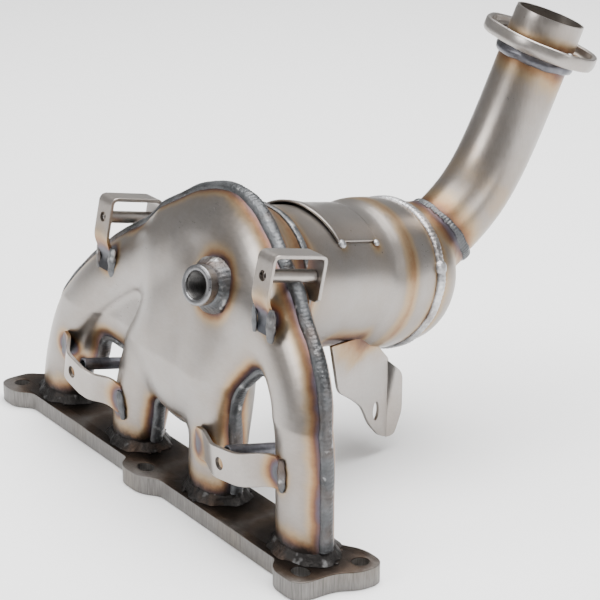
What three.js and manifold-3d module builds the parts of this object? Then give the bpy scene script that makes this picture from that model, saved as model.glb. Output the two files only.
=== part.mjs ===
// Fabricated exhaust manifold with a close-coupled catalytic converter for a
// four-cylinder engine. Millimetres. The origin is the centre of the gasket face
// of the head flange, +X runs along the flange, +Y towards the converter outlet
// and +Z away from the cylinder head.
import * as THREE from 'three';
import { mergeVertices } from 'three/addons/utils/BufferGeometryUtils.js';
import Module from 'manifold-3d';

const wasm = await Module();
wasm.setup();

// ---------------------------------------------------------------- driving sizes
const GAP = 0.3;                     // clearance between pieces that touch

const PORT_PITCH = 96;               // distance between cylinder ports
const PORTS = [-1.5, -0.5, 0.5, 1.5].map((n) => n * PORT_PITCH);

const FLANGE_THICKNESS = 12.7;
const FLANGE_HALF_WIDTH = 20.6;
const BOLT_HOLE_RADIUS = 5.25;       // clearance for M10 studs

const RUNNER_HALF_WIDTH = 22;        // across the flange's length
const RUNNER_HALF_DEPTH = 15;        // across the flange's width
const FLATTEN = RUNNER_HALF_DEPTH / RUNNER_HALF_WIDTH;
const SHELL_WALL = 2.2;
const RUNNER_FOOT = FLANGE_THICKNESS + GAP;

const PARTING_Y = 1.5;               // the two stampings meet on this plane
const LEAN_START = 95;               // above this height the parting plane leans back
const LEAN = 0.22;                   // lean, as a slope
const LEAN_ANGLE = Math.atan(LEAN);
const PLENUM_FRONT_DEPTH = 16.5;
const PLENUM_BACK_DEPTH = 22;
const PLENUM_EDGE_RADIUS = 13;
const SEAM_HEIGHT = 3;
const SEAM_HALF_WIDTH = 4.5;

const CAN_RADIUS = 46.5;
const CAN_SHOULDER_RADIUS = 51;
const CAN_END_RADIUS = 49;
const CAN_WALL = 1.8;
const CAN_LENGTH = 131;
const NECK_RADIUS = 48;
const BRICK_RADIUS = 40;

const PIPE_RADIUS = 24.2;
const PIPE_WALL = 1.6;
const SPOUT_RADIUS = PIPE_RADIUS + 1.4;

const BUNG_RADIUS = 12.6;
const BUNG_BORE = 8;
const BUNG_LENGTH = 20;

const OUTLET_FLANGE_HEIGHT = 10;
const OUTLET_FLANGE_FLOOR = 4;
const OUTLET_FLANGE_RIM = 4;
const OUTLET_FLANGE_TURN = 0.44;
const OUTLET_BOLT_REACH = 33.8;

const STRAP_THICKNESS = 2.5;
const STRAP_WIDTH = 16;
const SPACER_RADIUS = 4.1;
const SPACER_BORE = 2.6;

// directions and anchor points of the exhaust path
const CAN_AXIS = new THREE.Vector3(-0.2, 0.95, -0.23).normalize();
const CAN_OUTLET = new THREE.Vector3(18, 156.5, 118.6);
const CAN_INLET = CAN_OUTLET.clone().addScaledVector(CAN_AXIS, -CAN_LENGTH);
const CAN_UP = new THREE.Vector3(0, 0, 1).projectOnPlane(CAN_AXIS).normalize();
const PIPE_START = CAN_OUTLET.clone().add(new THREE.Vector3(2, 47.7, 21));
const PIPE_START_DIR = new THREE.Vector3(0.062, 0.824, 0.558).normalize();
const PIPE_END_DIR = new THREE.Vector3(0.166, 0.298, 0.94).normalize();
const PIPE_END = new THREE.Vector3(33, 286.6, 280.5);
const BUNG_FACE = new THREE.Vector3(58, -18, 160);

// ---------------------------------------------------------------- materials
const steel = (color, roughness, metalness = 0.9) =>
  new THREE.MeshStandardMaterial({ color, roughness, metalness });
const MATERIALS = {
  flange: steel(0x5b534c, 0.6),
  shell: steel(0xb3a899, 0.38),
  can: steel(0xa89f96, 0.32),
  weld: steel(0x6a6c6e, 0.5),
  bung: steel(0x77787a, 0.35),
  bracket: steel(0xbab3a8, 0.4),
  pipe: steel(0x9d958b, 0.35),
  ceramic: steel(0xd8cfb8, 0.9, 0),
  mat: steel(0xcfc8bb, 0.95, 0),
  mesh: steel(0x8a8c8f, 0.6),
};

// ---------------------------------------------------------------- solid helpers
function solid(geometry) {
  const bare = geometry.clone();
  bare.deleteAttribute('normal');
  bare.deleteAttribute('uv');
  const merged = mergeVertices(bare, 1e-4);
  return new wasm.Manifold(new wasm.Mesh({
    numProp: 3,
    vertProperties: new Float32Array(merged.attributes.position.array),
    triVerts: new Uint32Array(merged.index.array),
  }));
}

function geometryOf(manifold) {
  const mesh = manifold.getMesh();
  const geometry = new THREE.BufferGeometry();
  geometry.setAttribute('position', new THREE.BufferAttribute(mesh.vertProperties, 3));
  geometry.setIndex(new THREE.BufferAttribute(mesh.triVerts, 1));
  geometry.computeVertexNormals();
  return geometry;
}

const union = (solids) => solids.reduce((sum, next) => sum.add(next));

const largest = (manifold) =>
  manifold.decompose().reduce((best, next) => (next.volume() > best.volume() ? next : best));

const part = new THREE.Group();

function addPart(name, shape, material) {
  const geometry = shape.isBufferGeometry ? shape : geometryOf(shape);
  const mesh = new THREE.Mesh(geometry, material);
  mesh.name = name;
  part.add(mesh);
  return mesh;
}

// A frame whose +Z is the given direction and whose +X stays as level as it can.
function frameAlong(origin, direction) {
  const level = new THREE.Vector3(0, 0, 1).cross(direction).normalize();
  const third = direction.clone().cross(level);
  return new THREE.Matrix4().makeBasis(level, third, direction).setPosition(origin);
}

// A solid of revolution from [radius, height] pairs, lying along a direction.
function turned(profile, origin, direction, segments = 40) {
  const points = profile.map(([r, h]) => new THREE.Vector2(r, h));
  const geometry = new THREE.LatheGeometry(points, segments);
  geometry.rotateX(Math.PI / 2);
  return geometry.applyMatrix4(frameAlong(origin, direction));
}

// A ring with a rectangular section, as a closed profile for turned().
const ringProfile = (inner, outer, low, high) =>
  [[inner, low], [outer, low], [outer, high], [inner, high], [inner, low]];

// A weld bead: a ring with a rounded crown.
const beadProfile = (inner, height, halfWidth) => [
  [inner, -halfWidth],
  [inner + height * 0.7, -halfWidth * 0.7],
  [inner + height, 0],
  [inner + height * 0.7, halfWidth * 0.7],
  [inner, halfWidth],
  [inner, -halfWidth],
];

// A closed outline whose corners [x, y, radius] are rounded.
function roundedShape(corners) {
  const shape = new THREE.Shape();
  corners.forEach(([x, y, radius], i) => {
    const here = new THREE.Vector2(x, y);
    const [px, py] = corners[(i + corners.length - 1) % corners.length];
    const [nx, ny] = corners[(i + 1) % corners.length];
    const before = new THREE.Vector2(px - x, py - y).setLength(radius).add(here);
    const after = new THREE.Vector2(nx - x, ny - y).setLength(radius).add(here);
    if (i === 0) shape.moveTo(before.x, before.y);
    else shape.lineTo(before.x, before.y);
    shape.quadraticCurveTo(here.x, here.y, after.x, after.y);
  });
  shape.closePath();
  return shape;
}

function ellipseHole(x, y, halfX, halfY = halfX) {
  return new THREE.Path().absellipse(x, y, halfX, halfY, 0, 2 * Math.PI, true);
}

const extrude = (shape, depth, curveSegments = 4) =>
  new THREE.ExtrudeGeometry(shape, { depth, bevelEnabled: false, curveSegments });

function tubeSection(outer, inner) {
  const section = new THREE.Shape().absarc(0, 0, outer, 0, 2 * Math.PI);
  section.holes.push(ellipseHole(0, 0, inner));
  return section;
}

// ---------------------------------------------------------------- head flange
function headFlange() {
  const w = FLANGE_HALF_WIDTH;
  const outline = roundedShape([
    [-190.5, -6, 5], [-190.5, -31, 12], [-166, -31, 9], [-158, -w, 6],
    [-27, -w, 4], [-22, -30, 9], [4, -30, 9], [13, -w, 6],
    [145, -w, 4], [151, -29.5, 9], [179, -29.5, 11], [180, 0, 9],
    [188, 10, 8], [188, 30, 11], [165, 30, 9], [152, w, 8],
    [-145, w, 4], [-151, 30, 9], [-179, 30, 11], [-180, 4, 9],
  ]);
  const boltHoles = [[-178, -18, 0], [-166, 17, 1.5], [-7, -18, 1.5], [166, -17.3, 1.5], [177, 18.7, 0]];
  for (const [x, y, slot] of boltHoles) {
    outline.holes.push(ellipseHole(x, y, BOLT_HOLE_RADIUS + slot, BOLT_HOLE_RADIUS));
  }
  for (const x of PORTS) {
    outline.holes.push(ellipseHole(x, 0, RUNNER_HALF_WIDTH - 3, RUNNER_HALF_DEPTH - 2.5));
  }
  addPart('head_flange', extrude(outline, FLANGE_THICKNESS, 3), MATERIALS.flange);
}

// ---------------------------------------------------------------- clamshell body
const partingY = (z) => PARTING_Y + LEAN * Math.max(0, z - LEAN_START);

// Centre lines of the four runners, as [x, z] on the parting surface.
const RUNNER_LINES = [
  [[-144, 0], [-144, 18], [-137, 45], [-124, 72], [-104, 98], [-78, 121], [-45, 142], [0, 160]],
  [[-48, 0], [-48, 20], [-42, 50], [-28, 84], [-4, 120], [20, 150]],
  [[48, 0], [48, 30], [48, 80], [46, 150]],
  [[144, 0], [144, 50], [144, 82], [138, 106], [122, 127], [96, 145], [50, 160]],
];

// The rear stamping is deeper behind the two middle runners: [x, z, how far behind].
const REAR_BULGES = [
  [[-45, 32, 0], [-38, 64, 8], [-22, 94, 13], [12, 125, 13]],
  [[48, 28, 0], [48, 64, 8], [47, 96, 13], [45, 125, 13]],
];

function runnerTube(line, halfWidth, footZ) {
  const points = line.map(([x, z, behind = 0]) =>
    new THREE.Vector3(x, (partingY(z) + behind) / FLATTEN, z === 0 ? footZ : z));
  const section = new THREE.Shape().absarc(0, 0, halfWidth, 0, 2 * Math.PI);
  const tube = new THREE.ExtrudeGeometry(section, {
    steps: 2 * line.length - 3,
    curveSegments: 8,
    extrudePath: new THREE.CatmullRomCurve3(points),
  });
  return solid(tube.scale(1, FLATTEN, 1));
}

// The broad chamber where the runners meet: a pillow whose flat faces have this outline.
const PLENUM_FACE = [
  [-62, 105, 10], [-10, 68, 10], [28, 68, 10], [107, 147, 8],
  [88, 165, 12], [57, 194, 11], [28, 195.5, 11], [-12, 162, 14],
];

function plenum(grow) {
  const flat = PLENUM_FRONT_DEPTH + PLENUM_BACK_DEPTH - 2 * PLENUM_EDGE_RADIUS;
  const geometry = new THREE.ExtrudeGeometry(roundedShape(PLENUM_FACE), {
    depth: flat,
    bevelThickness: PLENUM_EDGE_RADIUS + grow,
    bevelSize: PLENUM_EDGE_RADIUS + grow,
    bevelSegments: 3,
    curveSegments: 3,
  });
  geometry.translate(0, -LEAN_START, PLENUM_EDGE_RADIUS - PLENUM_BACK_DEPTH);
  geometry.rotateX(Math.PI / 2 - LEAN_ANGLE);
  geometry.translate(0, PARTING_Y, LEAN_START);
  return solid(geometry);
}

function cylinderAlongCan(radius, from, to) {
  const profile = [[0, from], [radius, from], [radius, to], [0, to]];
  return solid(turned(profile, CAN_INLET, CAN_AXIS, 32));
}

// The chamber stops flat where the can begins; a round neck behind it takes the can.
function bodyVolume(grow, footZ = RUNNER_FOOT, neckEnd = -GAP / 2) {
  const chamber = union([
    ...RUNNER_LINES.map((line) => runnerTube(line, RUNNER_HALF_WIDTH + grow, footZ)),
    ...REAR_BULGES.map((line) => runnerTube(line, RUNNER_HALF_WIDTH - 2 + grow, footZ)),
    plenum(grow),
  ]);
  return chamber.subtract(cylinderAlongCan(52.5 - grow, grow - GAP / 2, 90))
    .add(cylinderAlongCan(NECK_RADIUS + grow, -22 - grow, neckEnd));
}

// Everything whose distance in front of the parting surface is between two values.
function slab(front, back) {
  const reach = 260;
  const top = 320;
  const outline = new THREE.Shape([
    new THREE.Vector2(PARTING_Y - front, -20),
    new THREE.Vector2(PARTING_Y - back, -20),
    new THREE.Vector2(PARTING_Y - back, LEAN_START),
    new THREE.Vector2(partingY(top) - back, top),
    new THREE.Vector2(partingY(top) - front, top),
    new THREE.Vector2(PARTING_Y - front, LEAN_START),
  ]);
  return solid(acrossX(extrude(outline, 2 * reach), 2 * reach));
}

// Turns an outline drawn as [y, z] and extruded into a solid centred on X.
function acrossX(geometry, width) {
  return geometry.applyMatrix4(new THREE.Matrix4().set(
    0, 0, 1, -width / 2,
    1, 0, 0, 0,
    0, 1, 0, 0,
    0, 0, 0, 1,
  ));
}

function clamshell() {
  const outer = bodyVolume(0);
  const inner = bodyVolume(-SHELL_WALL, FLANGE_THICKNESS - 5, 5);
  const walls = outer.subtract(inner);
  const hole = [[0, -6], [BUNG_RADIUS + GAP, -6], [BUNG_RADIUS + GAP, 40], [0, 40]];
  const bungHole = solid(turned(hole, BUNG_FACE, CAN_AXIS, 32));
  addPart('front_shell', walls.intersect(slab(90, GAP / 2)).subtract(bungHole), MATERIALS.shell);
  addPart('rear_shell', walls.intersect(slab(-GAP / 2, -120)), MATERIALS.shell);
}

// ---------------------------------------------------------------- sensor bung
function sensorBung(bodyPlusGap) {
  const r = BUNG_RADIUS;
  const profile = [
    [BUNG_BORE + 1, 0], [r - 1.2, 0], [r, 1.2], [r, BUNG_LENGTH],
    [BUNG_BORE, BUNG_LENGTH], [BUNG_BORE, 1], [BUNG_BORE + 1, 0],
  ];
  addPart('oxygen_sensor_bung', turned(profile, BUNG_FACE, CAN_AXIS, 28), MATERIALS.bung);
  const collar = [[r + GAP, 4.5], [r + 2.5, 6], [r + 5.5, 10], [r + 5.5, 22], [r + GAP, 22], [r + GAP, 4.5]];
  const weld = solid(turned(collar, BUNG_FACE, CAN_AXIS, 28)).subtract(bodyPlusGap);
  addPart('bung_weld', largest(weld), MATERIALS.weld);
}

// ---------------------------------------------------------------- seam and port welds
function seamWelds(bodyPlusGap) {
  const bottom = RUNNER_FOOT + 7;
  const aboveFlange = solid(new THREE.BoxGeometry(520, 200, 400).translate(0, 40, bottom + 200));
  const band = bodyVolume(SEAM_HEIGHT).subtract(bodyPlusGap)
    .intersect(slab(SEAM_HALF_WIDTH, -SEAM_HALF_WIDTH)).intersect(aboveFlange)
    .subtract(cylinderAlongCan(51.5, -3.6, 90));
  const seams = band.decompose().sort((a, b) => b.volume() - a.volume()).slice(0, 4);
  const [outer, ...gaps] = seams;
  gaps.sort((a, b) => a.boundingBox().min[0] - b.boundingBox().min[0]);
  addPart('outer_seam_weld', outer, MATERIALS.weld);
  gaps.forEach((gap, i) => addPart(`gap_seam_weld_${i + 1}`, gap, MATERIALS.weld));
}

function portWelds(bodyPlusGap) {
  const foot = RUNNER_FOOT;
  PORTS.forEach((x, i) => {
    const r = RUNNER_HALF_WIDTH;
    const fillet = [[0, foot], [r + 5.8, foot], [r + 2.8, foot + 2.2], [r - 1, foot + 6.3], [0, foot + 6.3]];
    const cone = new THREE.LatheGeometry(fillet.map(([u, v]) => new THREE.Vector2(u, v)), 28);
    cone.rotateX(Math.PI / 2).scale(1, FLATTEN, 1).translate(x, PARTING_Y, 0);
    addPart(`port_weld_${i + 1}`, largest(solid(cone).subtract(bodyPlusGap)), MATERIALS.weld);
  });
}

// ---------------------------------------------------------------- converter
const alongCan = (distance) => CAN_INLET.clone().addScaledVector(CAN_AXIS, distance);

const canOutline = (grow) => [
  [NECK_RADIUS, 0], [NECK_RADIUS, 6], [CAN_RADIUS, 11], [CAN_RADIUS, 84], [48.5, 91],
  [CAN_SHOULDER_RADIUS, 100], [CAN_SHOULDER_RADIUS, 118], [CAN_END_RADIUS, CAN_LENGTH],
].map(([r, h]) => [r + grow, h + GAP / 2]);

function converter(bodyPlusGap) {
  const outer = canOutline(0);
  const bore = CAN_RADIUS - CAN_WALL - GAP;
  const canProfile = [...outer, ...canOutline(-CAN_WALL).reverse(), outer[0]];
  addPart('converter_can', turned(canProfile, CAN_INLET, CAN_AXIS, 32), MATERIALS.can);

  const bricks = { front: [16, 58], rear: [66, 106] };
  for (const [name, [low, high]] of Object.entries(bricks)) {
    const core = [[0, low], [BRICK_RADIUS, low], [BRICK_RADIUS, high], [0, high]];
    addPart(`catalyst_brick_${name}`, turned(core, CAN_INLET, CAN_AXIS, 28), MATERIALS.ceramic);
    const sleeve = ringProfile(BRICK_RADIUS + GAP, bore, low + 1, Math.min(high, 84) - 1);
    addPart(`support_mat_${name}`, turned(sleeve, CAN_INLET, CAN_AXIS, 28), MATERIALS.mat);
  }
  const inletSeal = ringProfile(36, bore, 9, 15.7);
  addPart('end_seal_inlet', turned(inletSeal, CAN_INLET, CAN_AXIS, 28), MATERIALS.mesh);
  const outletSeal = ringProfile(BRICK_RADIUS + GAP, bore, 83.3, 92);
  addPart('end_seal_outlet', turned(outletSeal, CAN_INLET, CAN_AXIS, 28), MATERIALS.mesh);

  const bead = beadProfile(NECK_RADIUS + GAP, 1.8, 3);
  const ring = solid(turned(bead, alongCan(0), CAN_AXIS, 32)).subtract(bodyPlusGap);
  addPart('inlet_weld', largest(ring), MATERIALS.weld);
}

// ---------------------------------------------------------------- plates on the can
// A frame on the can's centre line: +Z along the can, +Y up.
function canFrame(distance) {
  const sideways = CAN_UP.clone().cross(CAN_AXIS);
  return new THREE.Matrix4().makeBasis(sideways, CAN_UP, CAN_AXIS).setPosition(alongCan(distance));
}

function curvedPlate(inner, outer, halfAngle, low, high) {
  const arc = new THREE.Shape();
  arc.absarc(0, 0, outer, Math.PI / 2 - halfAngle, Math.PI / 2 + halfAngle);
  arc.absarc(0, 0, inner, Math.PI / 2 + halfAngle, Math.PI / 2 - halfAngle, true);
  return extrude(arc, high - low, 8).applyMatrix4(canFrame(low));
}

function patchPlate(canPlusGap) {
  const inner = CAN_RADIUS + GAP;
  const outer = inner + 2.5;
  const halfAngle = THREE.MathUtils.degToRad(49);
  addPart('patch_plate', curvedPlate(inner, outer, halfAngle, 32, 74), MATERIALS.can);
  const platePlusGap = solid(curvedPlate(inner - GAP, outer + GAP, halfAngle + GAP / inner, 31.7, 74.3));
  [40, 72].forEach((distance, i) => {
    const spot = new THREE.SphereGeometry(4.2, 12, 8).scale(1, 0.7, 1).translate(0, inner, 0);
    spot.rotateZ(halfAngle + 0.05).applyMatrix4(canFrame(distance));
    const trimmed = solid(spot).subtract(canPlusGap).subtract(platePlusGap);
    addPart(`patch_spot_weld_${i + 1}`, largest(trimmed), MATERIALS.weld);
  });
}

// An upright plate under the can with a slotted hole and a folded outer edge.
function supportBracket(canPlusGap) {
  const outline = roundedShape([
    [-16, 10, 2], [-8, -33, 5], [8, -44, 5], [19, -53, 6], [27, -68, 6],
    [40, -82, 6], [49, -86, 3], [49, -28, 4], [26, 2, 2],
  ]);
  outline.holes.push(ellipseHole(35.3, -61.7, 3.6, 6.8));
  const plate = solid(extrude(outline, STRAP_THICKNESS, 3));
  const fold = roundedShape([[-1, -85.5, 0.4], [6, -85.5, 4], [12, -68, 5], [12, -40, 5], [-1, -28.5, 0.4]]);
  const strip = solid(extrude(fold, STRAP_THICKNESS, 3).rotateY(-0.5).translate(48, 0, 0));
  const normal = new THREE.Vector3(0.95, 0.31, 0).normalize();
  const vertical = new THREE.Vector3(0, 0, 1);
  const attach = CAN_UP.clone().applyAxisAngle(CAN_AXIS, THREE.MathUtils.degToRad(142));
  const frame = new THREE.Matrix4().makeBasis(vertical.clone().cross(normal), vertical, normal)
    .setPosition(alongCan(66).addScaledVector(attach, CAN_RADIUS));
  const placed = solid(geometryOf(plate.add(strip)).applyMatrix4(frame));
  addPart('support_bracket', largest(placed.subtract(canPlusGap)), MATERIALS.bracket);
}

// ---------------------------------------------------------------- outlet
function outletCone(canPlusGap) {
  const cap = (r, start) => {
    const crown = [[r, 138], [r - 2, 147], [r - 7, 154], [r - 15, 159], [r - 30, 162], [0, 163]];
    return solid(turned([[0, start], [r, start], ...crown], CAN_INLET, CAN_AXIS, 32));
  };
  const spout = (r, end) =>
    solid(turned([[0, -46], [r, -46], [r, end], [0, end]], PIPE_START, PIPE_START_DIR, 28));
  const wall = CAN_WALL;
  const outer = cap(CAN_END_RADIUS, CAN_LENGTH + GAP).add(spout(SPOUT_RADIUS, -GAP / 2));
  const hollow = cap(CAN_END_RADIUS - wall, CAN_LENGTH - 8)
    .translate(CAN_AXIS.clone().multiplyScalar(-wall).toArray())
    .add(spout(SPOUT_RADIUS - wall, 5));
  addPart('outlet_cone', largest(outer.subtract(hollow)), MATERIALS.can);
  const outletBead = beadProfile(CAN_END_RADIUS + GAP, 3, 4.5);
  const ring = solid(turned(outletBead, alongCan(CAN_LENGTH), CAN_AXIS, 32)).subtract(canPlusGap);
  addPart('outlet_weld', largest(ring), MATERIALS.weld);
  const pipeBead = beadProfile(SPOUT_RADIUS + GAP, 1.4, 4);
  addPart('pipe_weld', turned(pipeBead, PIPE_START, PIPE_START_DIR, 28), MATERIALS.weld);
}

function outletPipe() {
  const path = new THREE.CubicBezierCurve3(
    PIPE_START.clone().addScaledVector(PIPE_START_DIR, GAP / 2),
    PIPE_START.clone().addScaledVector(PIPE_START_DIR, 46),
    PIPE_END.clone().addScaledVector(PIPE_END_DIR, -106),
    PIPE_END,
  );
  const section = tubeSection(PIPE_RADIUS, PIPE_RADIUS - PIPE_WALL);
  const pipe = new THREE.ExtrudeGeometry(section, { steps: 12, curveSegments: 11, extrudePath: path });
  addPart('outlet_pipe', pipe, MATERIALS.pipe);
}

function outletFlange() {
  const seat = PIPE_END.clone().addScaledVector(PIPE_END_DIR, -25);
  const r = PIPE_RADIUS + GAP + 0.4;
  const ring = [[r, -8], [r + 2.2, -7], [r + 3.2, -4], [r + 2.4, -GAP], [r, -GAP], [r, -8]];
  addPart('flange_weld', turned(ring, seat, PIPE_END_DIR, 28), MATERIALS.weld);

  const oval = (inset) => roundedShape([
    [-44 + inset, -12, 9], [-22, -36 + inset, 14], [22, -36 + inset, 14], [44 - inset, -12, 9],
    [44 - inset, 12, 9], [22, 36 - inset, 14], [-22, 36 - inset, 14], [-44 + inset, 12, 9],
  ]);
  const pocketShape = extrude(oval(OUTLET_FLANGE_RIM), OUTLET_FLANGE_HEIGHT, 3);
  const pocket = solid(pocketShape.translate(0, 0, OUTLET_FLANGE_FLOOR));
  const reach = OUTLET_BOLT_REACH;
  const holes = [[0, r], [-reach, 5.25], [reach, 5.25]].map(([x, radius]) =>
    solid(new THREE.CylinderGeometry(radius, radius, 40, 28).rotateX(Math.PI / 2).translate(x, 0, 0)));
  const dish = solid(extrude(oval(0), OUTLET_FLANGE_HEIGHT, 3)).subtract(union([pocket, ...holes]));
  const frame = frameAlong(seat, PIPE_END_DIR).multiply(new THREE.Matrix4().makeRotationZ(OUTLET_FLANGE_TURN));
  addPart('outlet_flange', geometryOf(dish).applyMatrix4(frame), MATERIALS.bracket);
}

// ---------------------------------------------------------------- heat-shield brackets
// The outline of a strap of even thickness bent through a list of [along, across] points.
function strapOutline(points) {
  const near = [];
  const far = [];
  points.forEach(([u, v], i) => {
    const [pu, pv] = points[Math.max(0, i - 1)];
    const [nu, nv] = points[Math.min(points.length - 1, i + 1)];
    const before = new THREE.Vector2(u - pu, v - pv).normalize();
    const after = new THREE.Vector2(nu - u, nv - v).normalize();
    const along = before.clone().add(after).normalize();
    const across = new THREE.Vector2(-along.y, along.x);
    const reach = STRAP_THICKNESS / 2 / along.dot(i === 0 ? after : before);
    near.push(new THREE.Vector2(u, v).addScaledVector(across, reach));
    far.unshift(new THREE.Vector2(u, v).addScaledVector(across, -reach));
  });
  return new THREE.Shape([...near, ...far]);
}

// The strap goes up from its foot, over the seam and down again behind it, with the
// frame's origin at the hole in its front leg. A spacer tube runs between the legs.
function upperBracket(side, [x, y, z], foot, clearance) {
  const reach = 38;
  const outline = strapOutline([
    [9, -foot], [0, 15 - foot], [0, 11], [2.5, 13.5], [reach - 2.5, 13.5], [reach, 11], [reach, -15],
  ]);
  const bar = solid(acrossX(extrude(outline, STRAP_WIDTH), STRAP_WIDTH));
  const bolt = solid(new THREE.CylinderGeometry(3.4, 3.4, 12, 20));
  const frame = new THREE.Matrix4().makeRotationX(-LEAN_ANGLE).setPosition(x, y, z);
  const bracket = solid(geometryOf(bar.subtract(bolt)).applyMatrix4(frame));
  addPart(`heat_shield_bracket_${side}`, largest(bracket.subtract(clearance)), MATERIALS.bracket);
  const length = reach - STRAP_THICKNESS - 2 * GAP;
  const sleeve = extrude(tubeSection(SPACER_RADIUS, SPACER_BORE), length, 8);
  sleeve.rotateX(-Math.PI / 2).translate(0, STRAP_THICKNESS / 2 + GAP, 0);
  addPart(`spacer_tube_${side}`, sleeve.applyMatrix4(frame), MATERIALS.bracket);
}

// A hat-shaped strap bridging two runners, given as [x, back] points from its hole, with
// a spacer tube that goes back between the runners from its upper edge.
function lowerBracket(side, [x, y, z], legs, tilt, spacerX, clearance) {
  const height = 21;
  const hat = solid(extrude(strapOutline(legs), height).translate(0, 0, -height / 2));
  const bolt = solid(new THREE.CylinderGeometry(4.2, 4.2, 12, 20));
  const placed = geometryOf(hat.subtract(bolt)).rotateY(-tilt).translate(x, y, z);
  addPart(`heat_shield_bracket_${side}`, largest(solid(placed).subtract(clearance)), MATERIALS.bracket);
  const sleeve = extrude(tubeSection(SPACER_RADIUS, SPACER_BORE), 36, 8);
  sleeve.rotateX(-Math.PI / 2).rotateX(-LEAN_ANGLE);
  sleeve.translate(x + spacerX, y + STRAP_THICKNESS / 2 + GAP + 1, z + 8);
  addPart(`spacer_tube_${side}`, sleeve, MATERIALS.bracket);
}

// ---------------------------------------------------------------- assembly
headFlange();
clamshell();
const bodyPlusGap = bodyVolume(GAP).add(bodyVolume(0));
const canPlusGap = solid(turned([[0, 0], ...canOutline(GAP), [0, CAN_LENGTH]], CAN_INLET, CAN_AXIS, 32));
sensorBung(bodyPlusGap);
seamWelds(bodyPlusGap);
portWelds(bodyPlusGap);
converter(bodyPlusGap);
patchPlate(canPlusGap);
supportBracket(canPlusGap);
outletCone(canPlusGap);
outletPipe();
outletFlange();
upperBracket('upper_left', [-74, -4, 164.6], 29, bodyPlusGap);
upperBracket('upper_right', [111, -4, 179.2], 29, bodyPlusGap);
lowerBracket('lower_left', [-86, -26, 55],
  [[-34, 13], [-26, 12], [-9, 0], [12, 0], [20, 2], [29, 12], [43, 14]], -0.23, 9, bodyPlusGap);
lowerBracket('lower_right', [98, -28, 59.5],
  [[-46, 14], [-36, 13], [-8, 0], [16, 0], [22, 2], [32, 14], [43, 15.5]], 0.14, 3, bodyPlusGap);

export default part;
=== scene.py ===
"""Welded exhaust manifold with converter: the visual model, in metres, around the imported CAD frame.
Lengths in this file are millimetres until a mesh is made."""
import math
import random

import bmesh
import bpy
import numpy as np
from mathutils import Matrix, Vector, kdtree


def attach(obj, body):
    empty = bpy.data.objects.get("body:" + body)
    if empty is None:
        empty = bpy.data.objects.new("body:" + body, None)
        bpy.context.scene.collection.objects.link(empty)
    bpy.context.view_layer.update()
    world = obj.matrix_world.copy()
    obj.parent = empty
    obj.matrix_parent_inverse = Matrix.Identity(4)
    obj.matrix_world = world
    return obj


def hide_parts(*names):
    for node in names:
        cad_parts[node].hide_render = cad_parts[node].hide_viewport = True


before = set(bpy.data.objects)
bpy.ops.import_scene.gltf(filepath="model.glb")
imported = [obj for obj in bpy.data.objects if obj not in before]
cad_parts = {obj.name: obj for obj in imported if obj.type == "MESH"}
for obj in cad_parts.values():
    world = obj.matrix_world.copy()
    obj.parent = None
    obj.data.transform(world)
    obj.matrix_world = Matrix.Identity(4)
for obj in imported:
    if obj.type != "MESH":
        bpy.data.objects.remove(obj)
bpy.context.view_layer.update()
rng = random.Random(7)

# ------------------------------------------------------------------ sizes, as in the CAD
FLANGE_T = 12.7  # thickness of the head flange
FOOT = 13.0  # height at which the runners start
PORTS = [-144.0, -48.0, 48.0, 144.0]
HALF_X, HALF_Y = 22.0, 15.0  # half widths of a runner
LEAN_START, LEAN, PARTING = 95.0, 0.22, 1.5
LEAN_ANGLE = math.atan(LEAN)
SHELL_WALL, CAN_WALL, PIPE_WALL = 2.0, 1.8, 1.6
CAN_LENGTH = 131
TURN = 2 * math.pi
PHASE_LIMIT = 6.28


def unit(v):
    v = np.asarray(v, float)
    return v / np.linalg.norm(v)


AXIS = unit((-0.2, 0.95, -0.23))
OUTLET = np.array([18, 156.5, 118.6])
INLET = OUTLET - 131 * AXIS
UP = unit(np.array([0, 0, 1.0]) - AXIS[2] * AXIS)
PIPE_A = OUTLET + np.array([2, 47.7, 21])
DIR_A = unit((0.062, 0.824, 0.558))
DIR_B = unit((0.166, 0.298, 0.94))
PIPE_B = np.array([33, 286.6, 280.5])
SEAT = PIPE_B - 25 * DIR_B
BUNG = np.array([58.0, -18, 160])
CAN_R, NECK_R, PIPE_R, SPOUT_R, BUNG_R = 46.5, 48.0, 24.2, 25.6, 12.6

# Lines through the body: (x, z), with a third number where the line lies behind the parting surface.
RUNNERS = [
    [(-144, 13), (-144, 22), (-137, 45), (-124, 72), (-104, 98), (-78, 121), (-45, 142), (0, 160)],
    [(-48, 13), (-48, 24), (-42, 50), (-28, 84), (-4, 120), (20, 150)],
    [(48, 13), (48, 30), (48, 80), (46, 150)],
    [(144, 13), (144, 50), (144, 82), (138, 106), (122, 127), (96, 145), (50, 160)],
]
BULGES = [
    [(-45, 32, 0), (-38, 64, 8), (-22, 94, 13), (12, 125, 13)],
    [(48, 28, 0), (48, 64, 8), (47, 96, 13), (45, 125, 13)],
]
DOME = [(-14, 66), (28, 62), (70, 104), (112, 150), (90, 168), (66, 188), (42, 196), (14, 191), (-12, 177),
        (-34, 164), (-20, 118)]
WEB = [(-18, 134), (-64, 118), (-110, 84), (-112, 56), (-100, 56), (-95, 76), (-80, 86), (-52, 84), (-20, 92)]


def parting(z):
    """Where the two stampings meet: upright at first, then leaning back."""
    return PARTING + LEAN * np.maximum(0, np.asarray(z, float) - LEAN_START)


def frame_matrix(origin, x, y, z):
    m = np.eye(4)
    m[:3, 0], m[:3, 1], m[:3, 2], m[:3, 3] = x, y, z, origin
    return m


def along(origin, direction):
    """A frame with +Z along a direction and +X level."""
    level = unit(np.cross((0, 0, 1), direction))
    return frame_matrix(origin, level, np.cross(direction, level), direction)


CAN_FRAME = frame_matrix(INLET, np.cross(UP, AXIS), UP, AXIS)


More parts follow.
